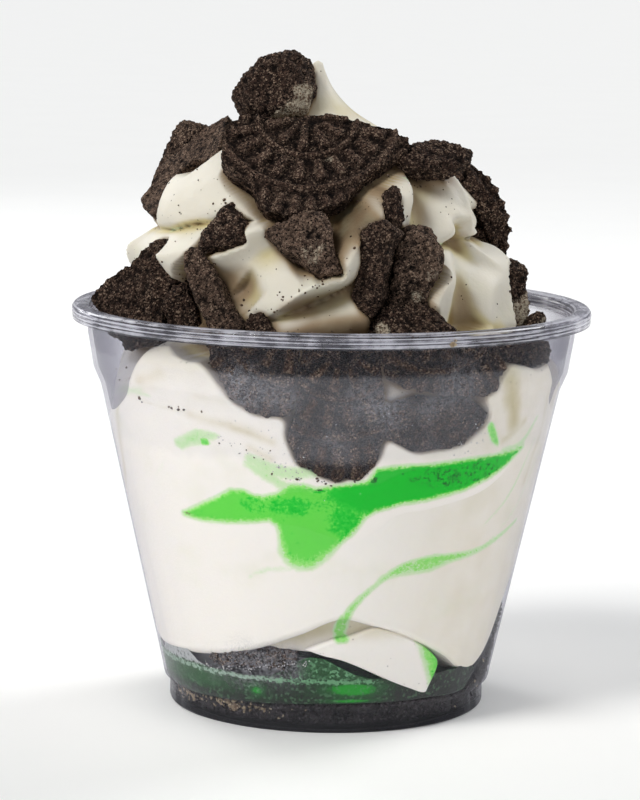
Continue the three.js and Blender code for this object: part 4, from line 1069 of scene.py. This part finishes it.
def make_low_fold(name, outline, setback, material, green=0.0):
    """A fold low down in front: a pillow that lies against the wall, rounded at its edge."""
    columns, rows = 132, 36
    fold, column, row = round_blank(name, columns, rows)
    ring = spline(outline + outline[:1], 12)[:-1]
    centre = ring.mean(axis=0)
    place = column / columns * len(ring)
    i = place.astype(int) % len(ring)
    ahead = (place - i)[:, None]
    ring = ring[i] * (1 - ahead) + ring[(i + 1) % len(ring)] * ahead
    # over the front, round the edge, then back and in
    front_ends, edge_ends, flat = 0.5, 0.72, 0.86
    down = row / rows
    turn = rise(down, front_ends, edge_ends) * math.pi / 2
    spread = np.where(down < front_ends, flat * down / front_ends, flat + (1 - flat) * np.sin(turn))
    spread = np.where(down > edge_ends, (1 - down) / (1 - edge_ends), spread) ** 0.8
    azimuth, z = (centre + (ring - centre) * spread[:, None]).T
    depth = setback + EDGE_DEPTH * (1 - np.cos(turn)) + FOLD_DEPTH * rise(down, edge_ends, 1)
    radius = inner_radius(z) + INTO_WALL + 0.05 - depth
    place_points(fold, around_axis(radius, azimuth, z))
    turn_outwards(fold)
    right_edge = rise(azimuth + 0.9 * (z - 12), 29, 39) * green
    paint_syrup(fold, azimuth, z, covered=0.72 * right_edge)
    # painted shade: darker towards its top, on the fold that is set back from the wall, and towards
    # the left
    shade = 0.2 * rise(z, 15, 19) + 0.1 * min(setback, 1) + 0.1 * rise(-azimuth, -4, 16)
    paint(fold, "hollow_shade", shade)
    paint(fold, "dusty", 0.4 + 0 * z)
    finish_piece(fold, material)


# ---------------------------------------------------------------- syrup

# Stations along the wall, each azimuth, lower edge and upper edge
RIBBON = np.array([
    (-42, 37.9, 38.4), (-34, 37.8, 40.8), (-27, 37.8, 42.8), (-18, 37.8, 42.5), (-8, 37.6, 43.6),
    (0, 36, 44.4), (6, 34.8, 44.7), (12, 36.4, 45), (18, 39.4, 46.8), (26, 40.2, 47.9),
    (34, 41, 48.4), (44, 42.4, 48.6), (51, 44.6, 48.8), (57, 48, 48.9),
])


def round_ends(row, rows, length):
    """0 at either end of a blank, rising to 1 over a length of rows as a round end does."""
    return np.clip(np.minimum(row, rows - row) / length, 0, 1) ** 0.5


def make_ribbon(material):
    """The band of syrup in the side, its face just inside the wall and its back rounded."""
    columns, rows = 56, 200
    ribbon, column, row = round_blank("syrup_band", columns, rows)
    start, end = RIBBON_ENDS
    azimuth = start + (end - start) * row / rows
    low = curve_through(RIBBON[:, :2])(azimuth)
    high = curve_through(RIBBON[:, ::2])(azimuth)
    ends = round_ends(row, rows, 10)
    bend = 2 * math.pi * column / columns
    half = (high - low) / 2 * ends
    z = (low + high) / 2 + half * np.sin(bend)
    depth = np.minimum(RIBBON_DEPTH, 1.2 + half) * ends
    radius = inner_radius(z) + INTO_WALL + 0.08 * ends * np.cos(bend)
    radius = np.where(np.cos(bend) < 0, radius + depth * np.cos(bend), radius)
    place_points(ribbon, around_axis(radius, azimuth, z))
    turn_outwards(ribbon)
    paint_syrup(ribbon, azimuth, z)
    finish_piece(ribbon, material)
    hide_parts("syrup_ribbon")


# How high the crumbs in the foot lie against the wall
crumb_height = curve_through([
    (-150, 7), (-110, 6.2), (-65, 3.6), (-28, 4.3), (2, 4.9), (35, 4.9), (60, 5.4), (74, 12),
    (90, 17), (115, 13), (150, 8),
], turn=360)


def along(part, corners, knots):
    """Values between knots, each an array with a value for every point, at parts of the way."""
    knots = np.array([knot + 0 * part for knot in knots])
    i = np.clip(np.searchsorted(corners, part, side="right") - 1, 0, len(corners) - 2)
    ahead = (part - np.array(corners)[i]) / np.diff(corners)[i]
    point = np.arange(len(part))
    return knots[i, point] * (1 - ahead) + knots[i + 1, point] * ahead


def make_pool(material):
    """The syrup that lies on the crumbs, where they are lower than its level."""
    columns, rows = 60, 300
    pool, column, row = round_blank("syrup_in_the_bottom", columns, rows)
    start, end = POOL_ENDS
    azimuth = start + (end - start) * row / rows
    bed = crumb_height(azimuth) + 0.5
    ends = round_ends(row, rows, 8)
    # up the wall, in along the top, down and back along the bed
    part = column / columns
    corners = [0, 0.4, 0.46, 0.8, 1]
    wall = inner_radius(SYRUP_LEVEL) + INTO_WALL
    # a film of it clings to the wall a little higher
    film = 2.6 * rise(-azimuth, 43, 56) * rise(azimuth, -78, -66)
    film += 4 * rise(azimuth, -20, -5) * (1 - rise(azimuth, -5, 17))
    film += 0.25 * clouds(around_axis(30.0, azimuth, 0 * azimuth), 2.2, 44)
    level = SYRUP_LEVEL
    radius = along(part, corners, [inner_radius(bed) + INTO_WALL, wall, wall - 1.2, 12, 24])
    z = along(part, corners, [bed, level + 0.3 + film, level, level - 0.2, bed - 1])
    radius = np.where(part <= 0.4, inner_radius(z) + INTO_WALL - 0.12, radius)
    middle = (level + bed) / 2
    z = middle + (z - middle) * ends
    radius = np.where(row % rows == 0, inner_radius(middle) - 4, radius)
    place_points(pool, around_axis(radius, azimuth, z))
    turn_outwards(pool)
    paint_pool(pool, azimuth, z, on_top=(part > 0.4) & (part < 0.9))
    finish_piece(pool, material)
    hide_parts("syrup_pool")


def paint_pool(pool, azimuth, z, on_top):
    """Where the pool is clear and green, and where foam lies, on its side and on its top."""
    level = SYRUP_LEVEL
    clear = 1.1 * spot(azimuth, z, (9, 8), (9, 1.3)) + 0.7 * spot(azimuth, z, (-24, 7.2), (3, 1.2))
    clear += 0.9 * spot(azimuth, z, (8, 5.9), (9, 0.3))
    left = 0.35 * rise(-azimuth, 24, 50) * rise(z, 5.5, 7)
    green = 0.2 + left + clear - 0.25 * rise(azimuth, 20, 34)
    green += rise(z, level, level + 0.6) * (0.6 * rise(azimuth, -14, -5) - 0.3)
    green_top = 0.5 * rise(azimuth, -12, -4) * rise(-azimuth, -14, -8)
    paint(pool, "green", np.where(on_top, green_top, green))
    above = rise(z, level + 0.2, level + 0.8)
    foam = 0.75 * np.exp(-(((z - level + 0.2) / 0.5) ** 2)) * (1 - rise(azimuth, 14, 20))
    foam += above * np.where(azimuth < -35, 0.8, 0.3 * rise(azimuth, -14, -4))
    foam_top = np.maximum(0.9 * rise(-azimuth, 40, 52), 0.75 * rise(azimuth, -10, -4))
    foam_top *= 1 - rise(azimuth, 16, 24)
    paint(pool, "foam", np.where(on_top, foam_top, foam))
    pale_green = 0.55 + 0.45 * rise(azimuth, -30, -6) - 0.5 * above * rise(-azimuth, 30, 44)
    paint(pool, "pale_green", np.where(on_top, rise(azimuth, -14, -6), pale_green))


# ---------------------------------------------------------------- crumbs


def crumb_blank(seed):
    """The points and faces of one small broken crumb, about 1 mm across."""
    start_fresh()
    bpy.ops.mesh.primitive_ico_sphere_add(subdivisions=1, radius=0.5 * MM)
    blank = bpy.context.object
    points = points_of(blank)
    faces = np.array([list(face.vertices) for face in blank.data.polygons])
    points *= (1 + 0.45 * clouds(points, 0.35, seed))[:, None]
    random = np.random.default_rng(seed)
    points *= random.uniform(0.7, 1.15, 3)
    bpy.data.objects.remove(blank)
    return points, faces


def scatter(name, places, sizes, seed, material):
    """Crumbs of their own size and turn at each place, joined as one piece."""
    random = np.random.default_rng(seed)
    blanks = [crumb_blank(seed + i) for i in range(6)]
    all_points, all_faces, count = [], [], 0
    for place, size in zip(places, sizes):
        points, faces = blanks[random.integers(len(blanks))]
        turn = np.array(Euler(random.uniform(0, 6.3, 3)).to_matrix())
        all_points.append(points * size @ turn.T + place)
        all_faces.append(faces + count)
        count += len(points)
    mesh = bpy.data.meshes.new(name)
    points = np.concatenate(all_points) * MM
    faces = np.concatenate(all_faces)
    mesh.from_pydata(points.tolist(), [], faces.tolist())
    finish_piece(add_object(name, mesh), material)


def make_crumb_bed(material):
    """The crumbs in the foot as one rough bed, which the loose ones lie on."""
    columns, rows = 240, 40
    bed, column, row = round_blank("crumb_bed", columns, rows)
    azimuth = column / columns * 360 - 180
    top = crumb_height(azimuth)
    floor = FLOOR_HEIGHT - 0.15
    # from the middle of the top, out to the wall, down it and in under
    part = row / rows
    corners = [0, 0.5, 0.85, 1]
    foot = FOOT_RADIUS - WALL
    radius = along(part, corners, [0, inner_radius(top), foot, 0])
    z = along(part, corners, [7.4, top, floor + 0.1, floor])
    on_wall = (part >= 0.5) & (part <= 0.85)
    radius = np.where(on_wall, inner_radius(z) + 0.1, radius)
    points = around_axis(radius, azimuth, z)
    rough = np.where(part < 0.86, 1, 0)
    points += (0.45 * rough * clouds(points, 1.6, 51))[:, None] * outwards(azimuth)
    points[:, 2] += 0.5 * np.where(part < 0.6, 1, 0) * clouds(points, 2, 52)
    place_points(bed, points)
    finish_piece(bed, material)
    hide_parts("cookie_crumbs")


def make_bottom_crumbs(material, pale):
    """Crumbs against the wall of the foot, pale ones in two clusters on the left."""
    random = np.random.default_rng(7)
    count = 2600
    azimuth = random.uniform(-180, 180, count)
    size = random.uniform(0.45, 1.5, count) * random.uniform(0.6, 1.2, count)
    low = FLOOR_HEIGHT + 0.2 + size / 2
    z = low + (np.maximum(crumb_height(azimuth) + 0.3 - low, 0.2)) * random.uniform(0, 1, count)
    radius = inner_radius(z - 0.3 * size) + 0.62 - 0.5 * size
    places = around_axis(radius, azimuth, z)
    cluster = np.exp(-((azimuth + 62) / 9) ** 2) + np.exp(-((azimuth + 34) / 13) ** 2)
    light = random.uniform(0, 1, count) < 0.02 + 0.8 * cluster * rise(z, 2.0, 3.2)
    scatter("crumbs_in_the_foot", places[~light], size[~light], 71, material)
    scatter("pale_crumbs_in_the_foot", places[light], size[light] * 0.9, 72, pale)


def make_loose_crumbs(material, cookies):
    """Crumbs that lie on the ice cream, thick round the cookies and thin elsewhere."""
    random = np.random.default_rng(17)
    places, sizes = [], []
    for cookie in cookies:
        points = points_of(cookie)
        x, y, z = points.T
        azimuth = np.degrees(np.arctan2(x - swirl_shift(z), -y))
        proud = np.hypot(x - swirl_shift(z), y) - cream_radius(azimuth, z)
        near = np.flatnonzero((proud > -0.1) & (proud < 1.3) & (z > 62))
        if len(near) == 0:
            continue
        for k in random.choice(near, min(12, len(near))):
            places.append((azimuth[k] + random.normal(0, 2.6), z[k] + random.normal(0, 1.2)))
            sizes.append(random.uniform(0.2, 0.65))
    for _ in range(220):
        places.append((random.uniform(-180, 180), 66 + 36 * random.uniform() ** 1.3))
        sizes.append(random.uniform(0.15, 0.34))
    # a line of them below the steep ridge
    for _ in range(26):
        part = random.uniform()
        around = -16 + 18 * part + random.normal(0, 1)
        places.append((around, 74.6 + 5 * part + random.normal(0, 0.8)))
        sizes.append(random.uniform(0.2, 0.45))
    azimuth, z = np.array(places).T
    sizes = np.array(sizes)
    radius = cream_radius(azimuth, z) + 0.1 * sizes
    in_cup = np.minimum(radius, inner_radius(z) - sizes)
    radius = np.where(z < RIM_HEIGHT, in_cup, radius)
    centres = around_axis(radius, azimuth, z)
    centres[:, 0] += swirl_shift(z)
    low = z < 104
    scatter("loose_crumbs", centres[low], sizes[low], 91, material)


# Lines of specks against the wall: (azimuth, height) along each, how many, their spread and
# their size
DARK_SPECKS = [
    ([(-54, 57.5), (-45, 57.2), (-40, 56.6), (-36, 56.5), (-32, 57.2)], 9, 0.5, 0.55),
    ([(-26, 52), (-18, 50), (-12, 47)], 10, 1.3, 0.4),
    ([(-8, 45.8), (0, 45.4), (8, 46.2)], 16, 0.7, 0.45),
    ([(-62, 60), (-56, 61), (-52, 64)], 5, 0.8, 0.35), ([(-43.5, 38.1), (-41, 38)], 4, 0.1, 0.3),
]
PALE_SPECKS = [
    ([(-44, 10.6), (-34, 10.6), (-22, 11.3), (-12, 12.6), (-5, 12.7)], 70, 0.3, 0.26),
    ([(34, 50), (38, 52), (42, 54)], 30, 1.2, 0.26),
    ([(-24, 56), (-12, 52), (-6, 48)], 26, 2, 0.24),
    ([(-30, 52), (-18, 50), (-8, 46.4)], 40, 0.7, 0.28), ([(-4, 52), (20, 54)], 20, 6, 0.22),
]


def make_wall_specks(name, lines, seed, material):
    """Small specks that show on what lies against the wall."""
    random = np.random.default_rng(seed)
    places, sizes = [], []
    for line, count, spread, size in lines:
        curve = spline(line, 10)
        for k in random.integers(len(curve), size=count):
            places.append(curve[k] + random.normal(0, spread, 2) * (1.4, 1))
            sizes.append(size * random.uniform(0.5, 1.3))
    azimuth, z = np.array(places).T
    centres = around_axis(inner_radius(z) + INTO_WALL, azimuth, z)
    scatter(name, centres, sizes, seed + 1, material)


def make_rim_crumb(material):
    """A crumb, of two parts, that sticks to the lip."""
    radius, azimuth, z = np.array([(RIM_RADIUS, 25.8, 69.4), (RIM_RADIUS - 0.3, 26.6, 70)]).T
    sizes = [1.5, 1.0]
    scatter("crumb_on_the_rim", around_axis(radius, azimuth, z), sizes, 61, material)


# ---------------------------------------------------------------- cookies

# Round wafers with a pressed pattern: where the wafer's middle lies from the piece's middle,
# to the right and up in its face
PRESSED = {
    "cookie_half_wafer_front": (0, 9),
    "cookie_wafer_in_cup_middle": (0, 11),
    "cookie_wafer_right": (-12, -2),
    "cookie_wafer_bottom": (0, 14),
    "cookie_piece_in_cup_left": (8, 14),
    "cookie_piece_in_cup_right": (-3, 15),
}

# Filling that still sticks to a piece, as (x, z, radius, strength) seen from the front
FILLING = {
    "cookie_lump_top": [(-6.2, 105.6, 3, 1.2), (-9, 104, 2.6, 1.0), (-5.4, 108.8, 2, 0.9)],
    "cookie_lump_filled_right": [(33.5, 70.5, 3.2, 1.0), (34.6, 73, 1.8, 0.8)],
    "cookie_piece_middle": [(-3.6, 83.5, 4.6, 0.42)],
    "cookie_lump_front_right": [(16.2, 79.5, 2.6, 0.45), (14.4, 75.8, 1.4, 0.9)],
    "cookie_chunk_rim": [(8.6, 70.6, 1.6, 0.9)],
    "cookie_half_wafer_front": [(-0.5, 97.5, 1.6, 0.35)],
    "cookie_chip_rim_right": [(37, 69.5, 1.5, 0.5)],
}


def plate_frame(points):
    """The way that the outer face of a flat piece looks, and the right and up of that face."""
    middle = points.mean(axis=0)
    normal = np.linalg.svd(points - middle, full_matrices=False)[2][2]
    away = middle * (1, 1, 0) + (0, 0, 8)
    normal = normal * np.sign(normal @ away)
    right = np.cross((0, 0, 1), normal)
    right = right / np.linalg.norm(right)
    return middle, normal, right, np.cross(normal, right)


def pressed_pattern(u, v):
    """A plain pattern for a round wafer: ribs at the edge, two rings and two rounds of flutes."""
    radius = np.hypot(u, v)
    angle = np.arctan2(v, u)
    raised = rise(radius, WAFER_RADIUS - 5, WAFER_RADIUS - 4.4) * (0.5 + 0.5 * np.cos(angle * 44))
    for ring, width in ((15.6, 0.6), (8.6, 0.5)):
        raised = raised + np.exp(-((radius - ring) / width) ** 2)
    for start, end, count in ((9.4, 14.2, 22), (2.6, 7.6, 11)):
        flutes = rise(np.cos(angle * count), -0.2, 0.5)
        flutes = flutes * rise(radius, start, start + 0.6) * (1 - rise(radius, end - 0.6, end))
        raised = raised + flutes
    return np.clip(raised, 0, 1)


# Pieces whose faces are smoother than the rest: how rough they are, and how light
ROUGH_AND_DARK = (1, 0)
SMOOTH = {
    "cookie_slab_left": (0.22, 0.9), "cookie_slab_upright": (0.8, 0.1),
    "cookie_slab_leaning": (0.8, 0.5), "cookie_lump_front_right": (0.9, 0.9),
    "cookie_half_wafer_front": (0.75, 0.1), "cookie_wafer_right": (0.7, 0),
    "cookie_piece_middle": (0.9, 1.0), "cookie_shard_left": (0.9, 0.8),
}

# Pieces that swell a little past the frame's, in mm
FULLER = {"cookie_lump_front_right": 0.7, "cookie_slab_leaning": 0.4, "cookie_piece_left": 0.3}

# Pieces that are shorter than the frame's along one axis: which one, the end that stays where it
# is, and how much of the length is left
SHORTER = {"cookie_lump_top": (0, np.min, 0.89), "cookie_lump_right": (2, np.max, 0.8)}


def press_to_wall(points, seed):
    """Points kept inside the cup's wall, and pressed to it where they lie close to it low down."""
    z = points[:, 2]
    radius = np.hypot(points[:, 0], points[:, 1])
    # neighbours end at depths of their own, so that no two faces lie in one place
    apart = 0.03 + 0.02 * (seed // 10 % 6)
    limit = np.where(z < RIM_HEIGHT, inner_radius(z) + INTO_WALL - apart, np.inf)
    out = radius + 0.5 * rise(radius - inner_radius(z), -1.6, -0.5) * (1 - rise(z, 62, 65))
    squeeze = np.minimum(out, limit) / np.maximum(radius, 1)
    return points * np.stack([squeeze, squeeze, 1 + 0 * z], axis=1)


def filling_left(name, points, normals):
    """How much filling sticks to each point, on the faces that look to the front."""
    filled = np.zeros(len(points))
    for x, z, size, strength in FILLING.get(name, []):
        far = np.hypot(points[:, 0] - x, points[:, 2] - z) / size
        filled = np.maximum(filled, (1 - rise(far, 0.3, 1.35)) * strength)
    return filled * rise(-normals[:, 1], -0.3, 0.2)


def make_cookie(name, material, seed):
    """A piece of the frame made crumbly: its faces broken into crumbs and grains, a pressed
    pattern on a wafer, and no part of it past the inside of the wall."""
    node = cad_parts[name]
    start_fresh()
    piece = add_object(name.replace("cookie", "broken_cookie"), node.data.copy())
    piece.select_set(True)
    bpy.context.view_layer.objects.active = piece
    apply_modifier(piece, "WELD", merge_threshold=0.01 * MM)
    apply_modifier(piece, "REMESH", mode="VOXEL", voxel_size=COOKIE_VOXEL * MM)
    apply_modifier(piece, "SMOOTH", factor=0.5, iterations=SOFTENING)
    points, normals = points_of(piece), normals_of(piece)
    if name in SHORTER:
        axis, which_end, left = SHORTER[name]
        end = which_end(points[:, axis])
        points[:, axis] = end + left * (points[:, axis] - end)
    rough, light = SMOOTH.get(name, ROUGH_AND_DARK)
    lumpy = 0.4 * clouds(points, 3.4, seed) + 0.25 * clouds(points, 1.6, seed + 1)
    to_crumb = grains(points, COOKIE_CRUMB, seed + 2)
    to_grain = grains(points, COOKIE_GRAIN, seed + 3)
    crumbly = 0.46 * (0.5 - to_crumb) + 0.55 * (0.5 - to_grain)
    height = rough * (lumpy + crumbly) - 0.08 + FULLER.get(name, 0)
    if name in PRESSED:
        middle, normal, right, up = plate_frame(points)
        across, up_from = PRESSED[name]
        flat = rise(normals @ normal, 0.7, 0.92)
        u = (points - middle) @ right - across
        v = (points - middle) @ up - up_from
        pressed = flat * (pressed_pattern(u, v) - 0.45)
        height = height * (1 - 0.35 * flat) + pressed + 0.1 * flat
        crumbly = crumbly * (1 - 0.2 * flat) + 0.42 * pressed + 0.06 * flat
    moved = press_to_wall(points + normals * height[:, None], seed)
    place_points(piece, moved)
    # the relief, which the finish paints as shade, near black in the pits and grooves
    paint(piece, "raised", np.clip(0.55 + 1.1 * crumbly, 0, 1))
    paint(piece, "smooth", light + 0 * height)
    paint(piece, "filling", filling_left(name, moved, normals))
    finish_piece(piece, material)
    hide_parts(name)
    return piece


# ---------------------------------------------------------------- the stage


def make_floor():
    """A plain pale floor."""
    start_fresh()
    bpy.ops.mesh.primitive_plane_add(size=60)
    floor = bpy.context.object
    floor.name = "floor"
    floor.data.materials.append(floor_finish())


def add_light(name, kind, power, aim, **settings):
    """A lamp that shines along a direction."""
    lamp = bpy.data.lights.new(name, kind)
    lamp.energy = power
    for key, value in settings.items():
        setattr(lamp, key, value)
    light = add_object(name, lamp)
    light.rotation_euler = aim.to_track_quat("-Z", "Y").to_euler()
    return light


def sun(name, azimuth, elevation, power, spread, colour=(1, 1, 1)):
    """Even light from one side, seen as a disc `spread` degrees wide."""
    height = math.sin(math.radians(elevation))
    source = around_axis(math.cos(math.radians(elevation)), azimuth, height)
    add_light(name, "SUN", power, -Vector(source), angle=math.radians(spread), color=colour)


def make_lights():
    """Plain studio light: a key, a light from behind, a weak fill and a pale sky."""
    sun("key", -50, 46, 1.85, 22, (1.0, 0.99, 0.97))
    sun("back_right", 130, 38, 1.25, 25)
    sun("fill", 40, 16, 0.35, 60)
    # a soft light from behind that glints on the lip
    place, middle = Vector((-0.5, 0.7, 0.5)), Vector((0, 0, 0.06))
    size = {"shape": "RECTANGLE", "size": 0.3, "size_y": 0.6}
    add_light("rim_glint", "AREA", 2.5, middle - place, **size).location = place
    world = bpy.data.worlds.new("studio")
    bpy.context.scene.world = world
    world.use_nodes = True
    background = world.node_tree.nodes["Background"]
    background.inputs[0].default_value = (0.93, 0.96, 1.0, 1)
    background.inputs[1].default_value = 0.32


def make_camera():
    """The camera at the photograph's place and angle."""
    camera = bpy.data.cameras.new("camera")
    camera.lens = CAMERA_LENS
    camera.clip_start, camera.clip_end = 0.05, 100
    holder = add_object("camera", camera)
    place = Matrix.Translation(Vector(CAMERA_PLACE) * MM)
    turns = ((CAMERA_TURN, "Z"), (90 + CAMERA_PITCH, "X"), (CAMERA_ROLL, "Z"))
    turn, pitch, roll = (Matrix.Rotation(math.radians(angle), 4, axis) for angle, axis in turns)
    holder.matrix_world = place @ turn @ pitch @ roll
    bpy.context.scene.camera = holder


# ---------------------------------------------------------------- the sundae

make_camera()
make_floor()
make_lights()
bpy.context.scene.view_settings.view_transform = "Standard"

cream = cream_finish()
cookie = cookie_finish()
make_cup(cup_finish())
swirl, rows, columns = make_ice_cream(cream)
make_low_fold("soft_serve_low_fold", LOW_FOLD, 0, cream, green=1)
make_low_fold("soft_serve_fold_behind", FOLD_BEHIND, 1.1, cream)
make_ribbon(ribbon_finish())
make_pool(pool_finish())
foot_crumb = crumb_finish("foot_crumb", "0A0707", "2C2628", "5E565C")
pale_crumb = crumb_finish("pale_crumb", "6E5A48", "A8977C", "D4C8B0")
make_crumb_bed(foot_crumb)
make_bottom_crumbs(foot_crumb, pale_crumb)
brown_speck = crumb_finish("brown_speck", "3A2C22", "6A5442", "9A8670")
make_wall_specks("dark_specks_against_the_wall", DARK_SPECKS, 31, brown_speck)
pale_speck = crumb_finish("pale_speck", "A8A6A8", "E2E0DE", "F4F2EE")
make_wall_specks("pale_specks_against_the_wall", PALE_SPECKS, 36, pale_speck)
make_rim_crumb(pale_crumb)
cookies = [make_cookie(name, cookie, 100 + 10 * i) for i, name in enumerate(cookie_nodes())]
paint_shelter(swirl, rows, columns, cookies)
make_loose_crumbs(crumb_finish("loose_crumb", "2A1C12", "5C4838", "8E7C68"), cookies)
